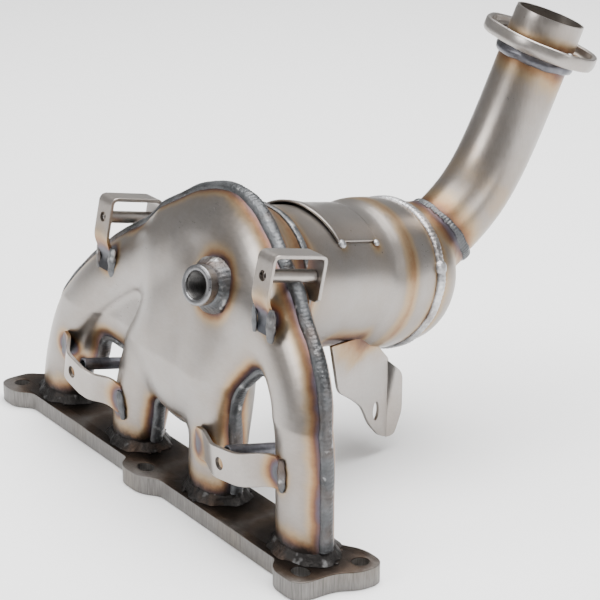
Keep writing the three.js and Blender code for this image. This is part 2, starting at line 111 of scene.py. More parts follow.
def outward(degrees):
    """The direction out of the can, at an angle from its top."""
    a = math.radians(degrees)
    return math.cos(a) * UP + math.sin(a) * np.cross(AXIS, UP)


def can_point(t, r, degrees):
    return INLET + t * AXIS + r * outward(degrees)


def place(points, matrix):
    points = np.asarray(points, float)
    return points @ matrix[:3, :3].T + matrix[:3, 3]


def axial(points, origin, direction):
    """How far points lie along a line, and how far from it."""
    rel = np.asarray(points, float) - origin
    t = rel @ direction
    return t, np.sqrt(np.maximum((rel ** 2).sum(1) - t ** 2, 0))


def glow(heat, amount, distance, reach, power=1):
    """Raises a tint to an amount that fades with distance."""
    return np.maximum(heat, amount * np.exp(-(np.maximum(distance, 0) / reach) ** power))


# ------------------------------------------------------------------ mesh helpers
def new_mesh(name, verts, faces, material, smooth_angle=35):
    mesh = bpy.data.meshes.new(name)
    mesh.from_pydata((np.asarray(verts, float) * 0.001).tolist(), [], [list(map(int, f)) for f in faces])
    mesh.validate()
    obj = bpy.data.objects.new(name, mesh)
    bpy.context.scene.collection.objects.link(obj)
    if material:
        mesh.materials.append(material)
    bm = bmesh.new()
    bm.from_mesh(mesh)
    bmesh.ops.recalc_face_normals(bm, faces=bm.faces)
    bm.to_mesh(mesh)
    bm.free()
    shade(obj, smooth_angle)
    return obj


def shade(obj, angle):
    mesh = obj.data
    mesh.polygons.foreach_set("use_smooth", [True] * len(mesh.polygons))
    if angle < 180:
        mesh.set_sharp_from_angle(angle=math.radians(angle))


def finish_piece(obj, slot, *nodes):
    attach(obj, "root")
    if nodes:
        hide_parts(*nodes)
    return obj


def add_piece(name, shape, material, angle, slot, *nodes):
    """Makes a finished piece from (points, faces)."""
    return finish_piece(new_mesh(name, *shape, material, angle), slot, *nodes)


def grid_faces(rows, cols, close_rows=False, close_cols=False):
    faces = []
    for i in range(rows if close_rows else rows - 1):
        for j in range(cols if close_cols else cols - 1):
            a, b = i, (i + 1) % rows
            c, d = j, (j + 1) % cols
            faces.append((a * cols + c, a * cols + d, b * cols + d, b * cols + c))
    return faces


def sweep(sections, closed_path=False):
    """Skins a list of closed rings of equal length. An open path gets end caps."""
    rows, cols = len(sections), len(sections[0])
    faces = grid_faces(rows, cols, closed_path, True)
    if not closed_path:
        faces.append(tuple(range(cols)))
        faces.append(tuple(range((rows - 1) * cols, rows * cols))[::-1])
    return np.concatenate(sections), faces


def lathe(profile, matrix, segments=96, wobble=None):
    """A closed ring profile of (radius, height), turned about the frame's Z."""
    profile = np.asarray(profile, float)
    rings = []
    for i in range(segments):
        a = TURN * i / segments
        r, h = profile[:, 0].copy(), profile[:, 1].copy()
        if wobble:
            dr, dh = wobble(a, profile)
            r, h = r + dr, h + dh
        rings.append(place(np.stack([r * math.cos(a), r * math.sin(a), h], 1), matrix))
    return sweep(rings, closed_path=True)


def bead_profile(inner, height, half, n=12):
    """A weld bead's section: a rounded crown on a short root."""
    crown = [(inner + height * math.sin(math.pi * k / n) ** 0.7, -half * math.cos(math.pi * k / n))
             for k in range(n + 1)]
    root = inner - 1.2
    return [(root, -half)] + crown + [(root, half)]


def modify(obj, kind, **values):
    mod = obj.modifiers.new(kind, kind)
    for key, value in values.items():
        setattr(mod, key, value)
    return mod


def apply_modifiers(obj):
    graph = bpy.context.evaluated_depsgraph_get()
    mesh = bpy.data.meshes.new_from_object(obj.evaluated_get(graph))
    old = obj.data
    obj.modifiers.clear()
    obj.data = mesh
    bpy.data.meshes.remove(old)
    return obj


def plate(name, outlines, thickness, matrix, material, bevel=0.4, angle=35):
    """A flat plate from closed outlines, the later ones being holes, centred on the frame's XY plane."""
    curve = bpy.data.curves.new(name, "CURVE")
    curve.dimensions = "2D"
    curve.fill_mode = "BOTH"
    curve.extrude = max(thickness / 2 - bevel, 0.01)
    curve.bevel_depth = bevel
    curve.bevel_resolution = 2
    curve.offset = -bevel
    for points in outlines:
        spline = curve.splines.new("POLY")
        spline.points.add(len(points) - 1)
        for point, (x, y) in zip(spline.points, points):
            point.co = (x, y, 0, 1)
        spline.use_cyclic_u = True
    temp = bpy.data.objects.new(name + "_curve", curve)
    bpy.context.scene.collection.objects.link(temp)
    graph = bpy.context.evaluated_depsgraph_get()
    mesh = bpy.data.meshes.new_from_object(temp.evaluated_get(graph))
    bpy.data.objects.remove(temp)
    bpy.data.curves.remove(curve)
    verts = np.array([v.co[:] for v in mesh.vertices])
    faces = [tuple(p.vertices) for p in mesh.polygons]
    bpy.data.meshes.remove(mesh)
    obj = new_mesh(name, place(verts, matrix), faces, material, angle)
    merge(obj, 0.02)
    return obj


def merge(obj, distance):
    bm = bmesh.new()
    bm.from_mesh(obj.data)
    bmesh.ops.remove_doubles(bm, verts=bm.verts, dist=distance * 0.001)
    bmesh.ops.recalc_face_normals(bm, faces=bm.faces)
    bm.to_mesh(obj.data)
    bm.free()


def rounded(corners, steps=8):
    """A closed outline whose (x, y, radius) corners are rounded."""
    out = []
    n = len(corners)
    for i, (x, y, r) in enumerate(corners):
        here = np.array([x, y], float)
        before = np.array(corners[i - 1][:2], float)
        after = np.array(corners[(i + 1) % n][:2], float)
        a = here + unit(before - here) * r
        b = here + unit(after - here) * r
        for k in range(steps + 1):
            s = k / steps
            out.append(tuple((1 - s) ** 2 * a + 2 * s * (1 - s) * here + s * s * b))
    return out


def ellipse(x, y, rx, ry=None, n=40):
    ry = rx if ry is None else ry
    angles = [TURN * k / n for k in range(n)]
    return [(x + rx * math.cos(a), y + ry * math.sin(a)) for a in angles]


def paint(obj, heat, soot=0.0):
    """Stores the tint level in red and the soot in green. The tint level is heat tint, and on the can and the
    outlet pipe it also holds painted highlights and painted shade.
    """
    layer = obj.data.color_attributes.new(name="tint", type="FLOAT_COLOR", domain="POINT")
    colors = np.ones((len(heat), 4), np.float32)
    colors[:, 0], colors[:, 1], colors[:, 2] = heat, soot, 0
    layer.data.foreach_set("color", colors.ravel())


def positions(obj):
    co = np.empty(len(obj.data.vertices) * 3, np.float32)
    obj.data.vertices.foreach_get("co", co)
    return co.reshape(-1, 3).astype(float) * 1000


def nearest(points, cloud):
    """Distance from each point to a cloud of points."""
    tree = kdtree.KDTree(len(cloud))
    for i, p in enumerate(cloud):
        tree.insert(Vector(p), i)
    tree.balance()
    return np.array([tree.find(Vector(p))[2] for p in points])


# ------------------------------------------------------------------ materials
BLACK, WHITE = (0, 0, 0), (1, 1, 1)


class Graph:
    """Short ways to add shader nodes."""

    def __init__(self, tree):
        self.tree = tree
        self.coord = tree.nodes.new("ShaderNodeTexCoord").outputs["Object"]
        self.shader = tree.nodes.new("ShaderNodeBsdfPrincipled")
        out = tree.nodes.new("ShaderNodeOutputMaterial")
        tree.links.new(self.shader.outputs[0], out.inputs[0])

    def link(self, value, socket):
        if isinstance(value, bpy.types.NodeSocket):
            self.tree.links.new(value, socket)
        else:
            socket.default_value = value

    def node(self, kind, **values):
        """Adds a node and sets or links its inputs by name."""
        n = self.tree.nodes.new("ShaderNode" + kind)
        for name, value in values.items():
            self.link(value, n.inputs[name])
        return n

    def surface(self, color, metallic, rough, normal):
        """Connects the four inputs that the metals use."""
        values = {"Base Color": color, "Metallic": metallic, "Roughness": rough, "Normal": normal}
        for name, value in values.items():
            self.link(value, self.shader.inputs[name])

    def math(self, op, a, b=0.0, c=0.0, clamp=False):
        n = self.tree.nodes.new("ShaderNodeMath")
        n.operation = op
        n.use_clamp = clamp
        for value, socket in zip((a, b, c), n.inputs):
            self.link(value, socket)
        return n.outputs[0]

    def noise(self, scale, detail=4.0, rough=0.55, stretch=None, offset=0.0):
        vector = self.coord
        if stretch or offset:
            moved = {"Location": (offset, offset, offset), "Scale": stretch or (1, 1, 1)}
            vector = self.node("Mapping", Vector=vector, **moved).outputs[0]
        return self.node("TexNoise", Vector=vector, Scale=scale, Detail=detail, Roughness=rough).outputs[0]

    def voronoi(self, scale):
        return self.node("TexVoronoi", Vector=self.coord, Scale=scale).outputs["Distance"]

    def ramp(self, fac, stops):
        n = self.node("ValToRGB", Fac=fac)
        elements = n.color_ramp.elements
        for i, (at, color) in enumerate(stops):
            e = elements[i] if i < 2 else elements.new(at)
            e.position = at
            e.color = (*color, 1)
        return n.outputs[0]

    def mask(self, fac, low, high):
        """Black up to low and white from high."""
        return self.ramp(fac, [(low, BLACK), (high, WHITE)])

    def mix(self, fac, a, b, blend="MIX"):
        n = self.tree.nodes.new("ShaderNodeMix")
        n.data_type = "RGBA"
        n.blend_type = blend
        for value, socket in ((fac, n.inputs[0]), (a, n.inputs[6]), (b, n.inputs[7])):
            self.link((*value, 1) if isinstance(value, tuple) else value, socket)
        return n.outputs[2]

    def painted(self):
        """The tint level and soot stored on the mesh: heat tint, with painted highlights and painted shade on
        the can and pipe.
        """
        n = self.node("Attribute")
        n.attribute_name = "tint"
        parts = self.node("SeparateColor", Color=n.outputs["Color"])
        return parts.outputs[0], parts.outputs[1]

    def bump(self, height, strength, distance, normal=None):
        n = self.node("Bump", Strength=strength, Distance=distance, Height=height)
        if normal:
            self.link(normal, n.inputs["Normal"])
        return n.outputs[0]


def node_material(name):
    mat = bpy.data.materials.new(name)
    mat.use_nodes = True
    mat.node_tree.nodes.clear()
    return mat, Graph(mat.node_tree)


# Tint colours of stainless steel, from clean to the hottest; on the can and pipe they also colour painted
# highlights and painted shade.
HEAT = [
    (0.0, (0.37, 0.345, 0.325)),
    (0.14, (0.34, 0.30, 0.265)),
    (0.28, (0.36, 0.265, 0.165)),
    (0.42, (0.27, 0.155, 0.08)),
    (0.56, (0.14, 0.075, 0.055)),
    (0.70, (0.10, 0.08, 0.10)),
    (0.84, (0.11, 0.115, 0.13)),
    (1.0, (0.07, 0.07, 0.075)),
]


def stainless(name, base=1.0, rough=0.3, brush=(1, 1, 1), grain=0.12, soot=True):
    """Stainless sheet, tinted where each piece is painted: heat tint, and on the can and pipe also painted
    highlights and painted shade.
    """
    mat, g = node_material(name)
    cloud = g.noise(22, 5, 0.6)
    fine = g.noise(240, 4, 0.6, stretch=brush)
    # heat here is the painted channel: heat tint, and on the can and pipe also painted highlights and painted
    # shade
    heat, sooty = g.painted()
    wander = g.math("MULTIPLY_ADD", cloud, 0.9, -0.4)
    local = g.math("MULTIPLY", wander, g.math("MULTIPLY_ADD", heat, 1.0, 0.42))
    total = g.math("ADD", heat, local, clamp=True)
    stops = [(at, tuple(c * base if at < 0.2 else c for c in color)) for at, color in HEAT]
    color = g.ramp(total, stops)
    stain = g.ramp(g.noise(9, 6, 0.65, offset=3.1), [(0.35, (0.86, 0.85, 0.84)), (0.6, WHITE)])
    color = g.mix(1.0, color, stain, "MULTIPLY")
    streak = g.ramp(fine, [(0.3, (0.9, 0.9, 0.9)), (0.7, (1.06, 1.06, 1.06))])
    color = g.mix(0.6, color, streak, "MULTIPLY")
    if soot:
        patchy = g.math("MULTIPLY_ADD", g.noise(60, 6, 0.7), 2.2, -0.35)
        dark = g.math("MULTIPLY", sooty, patchy, clamp=True)
        color = g.mix(dark, color, (0.022, 0.018, 0.016))
        specks = g.ramp(g.voronoi(95), [(0.035, WHITE), (0.07, BLACK)])
        where = g.mask(g.noise(14, 3, 0.5, offset=8.0), 0.56, 0.66)
        spatter = g.math("MULTIPLY", g.mix(1.0, specks, where, "MULTIPLY"), 0.75)
        color = g.mix(spatter, color, (0.06, 0.045, 0.035))
    r = g.math("MULTIPLY_ADD", fine, 0.16, rough - 0.08)
    r = g.math("MULTIPLY_ADD", total, 0.16, r)
    r = g.math("MULTIPLY_ADD", cloud, 0.08, r)
    normal = g.bump(fine, grain, 0.00012)
    normal = g.bump(g.noise(38, 3, 0.5, offset=1.3), 0.18, 0.0012, normal)
    g.surface(color, 0.92, r, normal)
    return mat


def weld_material(name, bright, rough, tint=(1.0, 1.0, 1.02), sparkle=0.25):
    """Rough weld metal with brown stains and bright spots."""
    mat, g = node_material(name)
    grit = g.noise(55, 6, 0.65)
    base = tuple(bright * t for t in tint)
    dark, light = (tuple(factor * b for b in base) for factor in (0.35, 1.7))
    color = g.ramp(grit, [(0.28, dark), (0.5, base), (0.72, light)])
    brown = g.mask(g.noise(26, 4, 0.6, offset=5.0), 0.5, 0.72)
    color = g.mix(g.math("MULTIPLY", brown, 0.55), color, (0.11, 0.065, 0.04))
    spot = g.mask(g.noise(120, 2, 0.5, offset=2.0), 0.62, 0.72)
    color = g.mix(g.math("MULTIPLY", spot, sparkle), color, (0.72, 0.72, 0.72))
    normal = g.bump(g.noise(420, 5, 0.65), 0.75, 0.0006)
    normal = g.bump(g.noise(170, 3, 0.6, offset=7.0), 0.8, 0.001, normal)
    g.surface(color, 0.85, g.math("MULTIPLY_ADD", grit, 0.3, rough - 0.15), normal)
    return mat


def flange_material():
    """Laser-cut plate: a grey striated edge and an oxidised top, darkest round the ports, where real burn and
    painted shade under and between the runners meet.
    """
    mat, g = node_material("flange_steel")
    x, y, z = g.node("SeparateXYZ", Vector=g.coord).outputs
    pitch = 0.096
    cell = g.math("SUBTRACT", g.math("FRACT", g.math("DIVIDE", x, pitch)), 0.5)
    dx = g.math("MULTIPLY", cell, pitch / 0.022)
    dy = g.math("DIVIDE", g.math("SUBTRACT", y, 0.0015), 0.015)
    squares = g.math("ADD", g.math("MULTIPLY", dx, dx), g.math("MULTIPLY", dy, dy))
    # darkest round each port: partly real burn, partly painted shade under and between the runners
    burn_and_shade = g.math("MULTIPLY_ADD", g.noise(48, 6, 0.7), 0.9, g.math("SQRT", squares))
    top = g.ramp(g.math("DIVIDE", burn_and_shade, 4.0), [
        (0.36, (0.006, 0.005, 0.004)), (0.50, (0.020, 0.013, 0.009)), (0.60, (0.06, 0.042, 0.03)),
        (0.70, (0.13, 0.118, 0.108)), (0.9, (0.19, 0.182, 0.175)),
    ])
    blotch = g.ramp(g.noise(30, 6, 0.7, offset=4.0), [(0.38, (0.35, 0.3, 0.27)), (0.62, (1.1, 1.1, 1.1))])
    top = g.mix(0.8, top, blotch, "MULTIPLY")
    striae = g.noise(150, 4, 0.55, stretch=(9, 9, 0.5))
    side = g.ramp(striae, [
        (0.3, (0.12, 0.114, 0.105)), (0.55, (0.19, 0.18, 0.168)), (0.75, (0.25, 0.238, 0.222)),
    ])
    heat = g.ramp(g.noise(16, 3, 0.5, offset=6.0), [(0.5, (0.85, 0.85, 0.88)), (0.7, (0.9, 0.78, 0.62))])
    side = g.mix(0.5, side, heat, "MULTIPLY")
    on_top = g.mask(g.math("DIVIDE", z, 0.0127), 0.93, 0.965)
    rough = g.math("MULTIPLY_ADD", g.noise(70, 5, 0.6), 0.3, 0.3)
    normal = g.bump(striae, 0.35, 0.0004)
    normal = g.bump(g.noise(110, 5, 0.6, offset=9.0), 0.25, 0.0005, normal)
    g.surface(g.mix(on_top, side, top), 0.8, rough, normal)
    return mat


def plain(name, color, rough, metallic=0.0, scale=150, depth=0.3, spread=0.25):
    """One colour that varies a little."""
    mat, g = node_material(name)
    n = g.noise(scale, 5, 0.6)
    dark = tuple(c * (1 - spread) for c in color)
    light = tuple(min(1, c * (1 + spread)) for c in color)
    rough = g.math("MULTIPLY_ADD", n, 0.2, rough - 0.1)
    g.surface(g.ramp(n, [(0.3, dark), (0.7, light)]), metallic, rough, g.bump(n, depth, 0.0003))
    return mat


SHELL = stainless("shell_steel", 0.84, 0.27, (1, 1, 3))
CAN = stainless("can_steel", 0.85, 0.27, (0.15, 4, 4), grain=0.2)
PIPE = stainless("pipe_steel", 0.9, 0.26, (3, 3, 0.3), grain=0.15)
BRACKET = stainless("bracket_steel", 1.02, 0.3, (2, 2, 2), soot=False)
SEAM = weld_material("seam_weld_metal", 0.09, 0.42, (0.97, 1.0, 1.04), 0.4)
BRIGHT_WELD = weld_material("bright_weld_metal", 0.42, 0.34, sparkle=0.6)
DARK_WELD = weld_material("burnt_weld_metal", 0.02, 0.5, (1.05, 0.95, 0.9), 0.12)
FLANGE = flange_material()
BUNG_STEEL = plain("turned_steel", (0.19, 0.19, 0.195), 0.3, 0.9, 300, 0.15, 0.2)
# the bore's thread is coloured nearly black
THREAD = plain("nearly_black_thread", (0.07, 0.068, 0.066), 0.38, 0.85, 200, 0.2, 0.4)
DARK_STEEL = plain("dark_steel", (0.12, 0.12, 0.135), 0.36, 0.85, 120, 0.2, 0.4)
CERAMIC = plain("ceramic", (0.72, 0.66, 0.52), 0.85)
MAT = plain("fibre_mat", (0.62, 0.58, 0.5), 0.95, 0.0, 700, 0.8)
MESH = plain("wire_mesh", (0.3, 0.3, 0.31), 0.5, 0.8, 900, 0.9)


# ------------------------------------------------------------------ body field
def catmull(points, per=6):
    points = np.asarray(points, float)
    ext = np.concatenate([[2 * points[0] - points[1]], points, [2 * points[-1] - points[-2]]])
    out = []
    for i in range(1, len(ext) - 2):
        p0, p1, p2, p3 = ext[i - 1:i + 3]
        for k in range(per):
            t = k / per
            out.append(0.5 * (2 * p1 + (p2 - p0) * t + (2 * p0 - 5 * p1 + 4 * p2 - p3) * t * t
                              + (3 * p1 - p0 - 3 * p2 + p3) * t ** 3))
    out.append(ext[-2])
    return np.array(out)


def tube_field(p, line, half):
    """About the distance outside a flattened tube. p is x, distance behind the parting surface, z."""
    k = HALF_X / HALF_Y
    line = np.asarray([(q[0], q[1], q[2] if len(q) > 2 else 0.0) for q in line])
    curve = catmull(np.stack([line[:, 0], line[:, 2] * k, line[:, 1]], 1), 4)
    q = p * np.array([1, k, 1])
    best = np.full(len(p), 1e9)
    for a, b in zip(curve[:-1], curve[1:]):
        ab = b - a
        t = np.clip(((q - a) @ ab) / (ab @ ab), 0, 1)
        d = ((q - a - t[:, None] * ab) ** 2).sum(1)
        best = np.minimum(best, d)
    return np.sqrt(best) - half


def polygon_field(x, z, poly):
    poly = np.asarray(poly, float)
    d = np.full(len(x), 1e18)
    inside = np.zeros(len(x), bool)
    for (ax, az), (bx, bz) in zip(poly, np.roll(poly, -1, 0)):
        ex, ez = bx - ax, bz - az
        t = np.clip(((x - ax) * ex + (z - az) * ez) / (ex * ex + ez * ez), 0, 1)
        d = np.minimum(d, (x - ax - t * ex) ** 2 + (z - az - t * ez) ** 2)
        if ez != 0:
            cross = ((az > z) != (bz > z)) & (x < (bx - ax) * (z - az) / ez + ax)
            inside ^= cross
    return np.where(inside, -1, 1) * np.sqrt(d)


def softened(poly, times=3):
    """Cuts the corners of a closed polygon again and again."""
    poly = np.asarray(poly, float)
    for _ in range(times):
        after = np.roll(poly, -1, 0)
        poly = np.stack([0.75 * poly + 0.25 * after, 0.25 * poly + 0.75 * after], 1).reshape(-1, 2)
    return poly


def pillow(p, poly, edge, front, back, inset=0):
    """A rounded slab whose rim stands out by edge. With an inset, its faces curve over a wider band."""
    poly = softened(poly, 2)
    d = polygon_field(p[:, 0], p[:, 2], poly) + inset
    edge += inset
    y = np.where(p[:, 1] < 0, -p[:, 1] * edge / front, p[:, 1] * edge / back)
    return np.sqrt(np.maximum(d, 0) ** 2 + y ** 2) - edge


def blend_min(a, b, k):
    h = np.clip(0.5 + 0.5 * (b - a) / k, 0, 1)
    return b * (1 - h) + a * h - k * h * (1 - h)


def body_field(p):
    """Negative inside the body. p is x, distance behind the parting surface, z."""
    f = tube_field(p, RUNNERS[0], HALF_X)
    for line in RUNNERS[1:]:
        f = blend_min(f, tube_field(p, line, HALF_X), 5)
    for line in BULGES:
        f = blend_min(f, tube_field(p, line, HALF_X - 2), 7)
    f = blend_min(f, pillow(p, DOME, 13, 16.2, 17, 15), 13)
    f = blend_min(f, pillow(p, WEB, 8, 6, 8), 3)
    real = p.copy()
    real[:, 1] += parting(p[:, 2])
    t, radius = axial(real, INLET, AXIS)
    f = np.maximum(f, -np.maximum(radius - NECK_R - 4.5, -t))
    neck = np.maximum(radius - NECK_R, np.maximum(t, -22 - t))
    return blend_min(f, neck, 5)


def sample_grid(low, high, step):
    """The points of a regular grid, and their number along each side."""
    counts = np.ceil((high - low) / step).astype(int) + 1
    axes = [low[i] + step * np.arange(counts[i]) for i in range(3)]
    gx, gy, gz = np.meshgrid(*axes, indexing="ij")
    return np.stack([gx.ravel(), gy.ravel(), gz.ravel()], 1), counts


def relax(bm, times):
    for _ in range(times):
        bmesh.ops.smooth_vert(bm, verts=bm.verts, factor=0.5,
                              use_axis_x=True, use_axis_y=True, use_axis_z=True)


def surface_nets(values, origin, step):
    """A quad mesh of the zero surface of a grid of values."""
    nx, ny, nz = values.shape
    inside = values < 0
    corners = [(i, j, k) for i in (0, 1) for j in (0, 1) for k in (0, 1)]
    count = 0
    for i, j, k in corners:
        count = count + inside[i:nx - 1 + i, j:ny - 1 + j, k:nz - 1 + k].astype(np.int8)
    cells = np.argwhere((count > 0) & (count < 8))
    index = -np.ones((nx - 1, ny - 1, nz - 1), np.int64)
    index[tuple(cells.T)] = np.arange(len(cells))
    total = np.zeros((len(cells), 3))
    hits = np.zeros(len(cells))
    for a in corners:
        for axis in range(3):
            if a[axis]:
                continue
            b = list(a)
            b[axis] = 1
            ia, ib = cells + a, cells + b
            fa, fb = values[tuple(ia.T)], values[tuple(ib.T)]
            crossed = (fa < 0) != (fb < 0)
            t = np.where(crossed, fa / np.where(crossed, fa - fb, 1), 0)
            point = ia + 0.0
            point[:, axis] += t
            total[crossed] += point[crossed]
            hits += crossed
    verts = total / hits[:, None] * step + origin
    faces = []
    for axis in range(3):
        u, v = (axis + 1) % 3, (axis + 2) % 3
        lo = [slice(1, -1)] * 3
        hi = [slice(1, -1)] * 3
        lo[axis], hi[axis] = slice(0, -1), slice(1, None)
        changed = np.argwhere(inside[tuple(lo)] != inside[tuple(hi)])
        base = changed + [0 if i == axis else 1 for i in range(3)]
        quad = []
        for du, dv in ((1, 1), (0, 1), (0, 0), (1, 0)):
            back = [(-du if i == u else -dv if i == v else 0) for i in range(3)]
            quad.append(index[tuple((base + back).T)])
        quad = np.stack(quad, 1)
        flip = ~inside[tuple(base.T)]
        quad[flip] = quad[flip][:, ::-1]
        faces.append(quad[(quad >= 0).all(1)])
    return verts, np.concatenate(faces)


def build_body():
    """The points and faces of the two stampings' outer skins."""
    step = 1.5
    low = np.array([-172.0, -22.0, FOOT - step * 1.01])
    high = np.array([172.0, 62.0, 222.0])
    p, counts = sample_grid(low, high, step)
    near = (p[:, 1] < 46) | ((p[:, 0] > -20) & (p[:, 0] < 110))
    f = np.full(len(p), 50.0)
    f[near] = body_field(p[near])
    f = np.maximum(f, FOOT - p[:, 2]).reshape(counts)
    verts, faces = surface_nets(f, low, step)
    mesh = bpy.data.meshes.new("body")
    mesh.from_pydata(verts.tolist(), [], faces.tolist())
    bm = bmesh.new()
    bm.from_mesh(mesh)
    relax(bm, 3)
    bottom = [face for face in bm.faces if face.calc_center_median().z < FOOT + step * 0.55]
    bmesh.ops.delete(bm, geom=bottom, context="FACES")
    geom = bm.verts[:] + bm.edges[:] + bm.faces[:]
    bmesh.ops.bisect_plane(bm, geom=geom, dist=1e-4, plane_co=(0, 0, 0), plane_no=(0, 1, 0))
    halves = {}
    for name, sign in (("front_shell", -1), ("rear_shell", 1)):
        part = bm.copy()
        wrong = [face for face in part.faces if face.calc_center_median().y * sign < 0]
        bmesh.ops.delete(part, geom=wrong, context="FACES")
        for v in part.verts:
            v.co.y += float(parting(v.co.z)) + 0.05 * sign
        out = bpy.data.meshes.new(name)
        part.to_mesh(out)
        part.free()
        halves[name] = ([tuple(v.co) for v in out.vertices], [tuple(q.vertices) for q in out.polygons])
        bpy.data.meshes.remove(out)
    bm.free()
    bpy.data.meshes.remove(mesh)
    return halves


def trace_seam(start, direction, step):
    """Follows the body's edge on the parting surface from [x, z] until it meets the foot again."""
    def edge(x, z):
        return body_field(np.array([[x, 0.0, z]]))[0]

    def slope(x, z):
        h = 0.4
        q = np.array([[x + h, 0, z], [x - h, 0, z], [x, 0, z + h], [x, 0, z - h]], float)
        v = body_field(q)
        return np.array([v[0] - v[1], v[2] - v[3]]) / (2 * h)

    point = np.array(start, float)
    path, normals = [], []
    heading = np.array(direction, float)
    for _ in range(1200):
        for _ in range(3):
            g = slope(*point)
            point = point - edge(*point) * g / (g @ g)
        g = unit(slope(*point))
        path.append(point.copy())
        normals.append(g)
        tangent = np.array([-g[1], g[0]])
        if tangent @ heading < 0:
            tangent = -tangent
        heading = tangent
        point = point + step * tangent
        if point[1] < start[1] - 0.1 and len(path) > 8:
            break
    return np.array(path), np.array(normals)


def phases(count, source=rng):
    return [source.uniform(0, PHASE_LIMIT) for _ in range(count)]


def seam_bead(node, path, normals, step):
    """A flattened bead over the seam, with faint chevron ripples."""
    profile = [(-1.6, -4.2), (0.3, -4.5), (1.4, -4.0), (2.3, -2.9), (2.8, -1.5), (3.0, 0), (2.8, 1.5),
               (2.3, 2.9), (1.4, 4.0), (0.3, 4.5), (-1.6, 4.2)]
    phase = phases(6)
    sections = []
    for i, ((x, z), (nx, nz)) in enumerate(zip(path, normals)):
        s = i * step
        wide = 1 + 0.05 * math.sin(s / 9 + phase[0]) + 0.04 * math.sin(s / 3.7 + phase[1])
        high = 1 + 0.08 * math.sin(s / 13 + phase[2]) + 0.06 * math.sin(s / 5.1 + phase[3])
        ring = []
        for out, side in profile:
            o = out * high
            if out > 0:
                ripple = 0.32 * abs(math.sin((s - 0.09 * side * side) / 2.6 * math.pi))
                o -= 0.15 - ripple
            zz = z + nz * o
            ring.append((x + nx * o, parting(zz) + side * wide, zz))
        sections.append(np.array(ring))
    add_piece(node, sweep(sections), SEAM, 60, "weld", node)


# ------------------------------------------------------------------ make the body
# Each seam starts at the outer side of the port given here.
SEAM_PORTS = {"outer_seam_weld": 144.0, "gap_seam_weld_1": -144.0, "gap_seam_weld_2": -48.0,
              "gap_seam_weld_3": 48.0}
seam_step = 0.65
seam_points = []
for node, port in SEAM_PORTS.items():
    path, normals = trace_seam((port + HALF_X, 20), (0, 1), seam_step)
    seam_bead(node, path, normals, seam_step)
    seam_points += [(x, float(parting(z)), z) for x, z in path[::3]]
seam_points = np.array(seam_points)

# Where bracket feet are welded to the body: x, y, z and size.
FEET = [(-71, -4, 139, 9), (114, -5, 153, 9), (-118, -12, 60, 8), (-50, -13, 41, 9), (55, -15, 50, 9),
        (135, -13, 63, 9)]


def body_tint(p):
    heat = glow(0, 0.62, nearest(p, seam_points) - 4.5, 6.5, 1.4)
    t, radius = axial(p, BUNG, AXIS)
    heat = glow(heat, np.where(t < 45, 0.78, 0), np.abs(radius - BUNG_R - 1), 9, 1.5)
    for x, y, z, size in FEET:
        heat = glow(heat, 0.8, np.linalg.norm(p - (x, y, z), axis=1) - size * 0.6, 6.0, 1.4)
    low = np.maximum(p[:, 2] - FOOT, 0)
    heat = glow(heat, 0.66, low, 15, 1.6)
    t, radius = axial(p, INLET, AXIS)
    heat = glow(heat, np.where((t > -24) & (radius < 53), 0.42, 0), -t - 6, 14)
    return heat, glow(0, 1.8, low - 4, 7.5)


def open_bore(verts, faces):
    """Leaves out the sheet inside the sensor bung."""
    t, r = axial(verts, BUNG, AXIS)
    inside = (r < 9.4) & (t < 26)
    return [face for face in faces if not all(inside[k] for k in face)]


for name, (verts, faces) in build_body().items():
    if name == "front_shell":
        faces = open_bore(verts, faces)
    shell = new_mesh(name, verts, faces, SHELL, 180)
    modify(shell, "SOLIDIFY", thickness=SHELL_WALL * 0.001, offset=-1)
    apply_modifiers(shell)
    paint(shell, *body_tint(positions(shell)))
    finish_piece(shell, "shell", name)

# ------------------------------------------------------------------ head flange
W = 20.6  # half width of the plate between its ears
flange_outline = rounded([
    (-190.5, -6, 5), (-190.5, -31, 12), (-166, -31, 9), (-158, -W, 6),
    (-27, -W, 4), (-22, -30, 9), (4, -30, 9), (13, -W, 6),
    (145, -W, 4), (151, -29.5, 9), (179, -29.5, 11), (180, 0, 9),
    (188, 10, 8), (188, 30, 11), (165, 30, 9), (152, W, 8),
    (-145, W, 4), (-151, 30, 9), (-179, 30, 11), (-180, 4, 9)])
STUD_R = 5.25
stud_holes = [ellipse(x, y, STUD_R + slot, STUD_R) for x, y, slot in
              ((-178, -18, 0), (-166, 17, 1.5), (-7, -18, 1.5), (166, -17.3, 1.5), (177, 18.7, 0))]
port_holes = [ellipse(x, 0, HALF_X - 3, HALF_Y - 2.5, 64) for x in PORTS]
flat = np.eye(4)
flat[2, 3] = FLANGE_T / 2
head = plate("head_flange_plate", [flange_outline] + stud_holes + port_holes, FLANGE_T, flat, FLANGE, 0.5)
finish_piece(head, "flange", "head_flange")


def blob(x, y, z, r, squash, rings=6, around=10):
    """A flattened ball."""
    verts = []
    for i in range(rings + 1):
        a = math.pi * i / rings
        for j in range(around):
            b = TURN * j / around
            verts.append((x + r * math.sin(a) * math.cos(b), y + r * math.sin(a) * math.sin(b),
                          z + r * squash * math.cos(a)))
    return np.array(verts), grid_faces(rings + 1, around, False, True)


def dot_weld(name, center, direction, r, squash, rings, around, *nodes):
    verts, faces = blob(0, 0, 0, r, squash, rings, around)
    add_piece(name, (place(verts, along(center, direction)), faces), BRIGHT_WELD, 180, "weld", *nodes)


def join(parts):
    verts, faces, offset = [], [], 0
    for v, f in parts:
        verts.append(v)
        faces += [tuple(k + offset for k in face) for face in f]
        offset += len(v)
    return np.concatenate(verts), faces


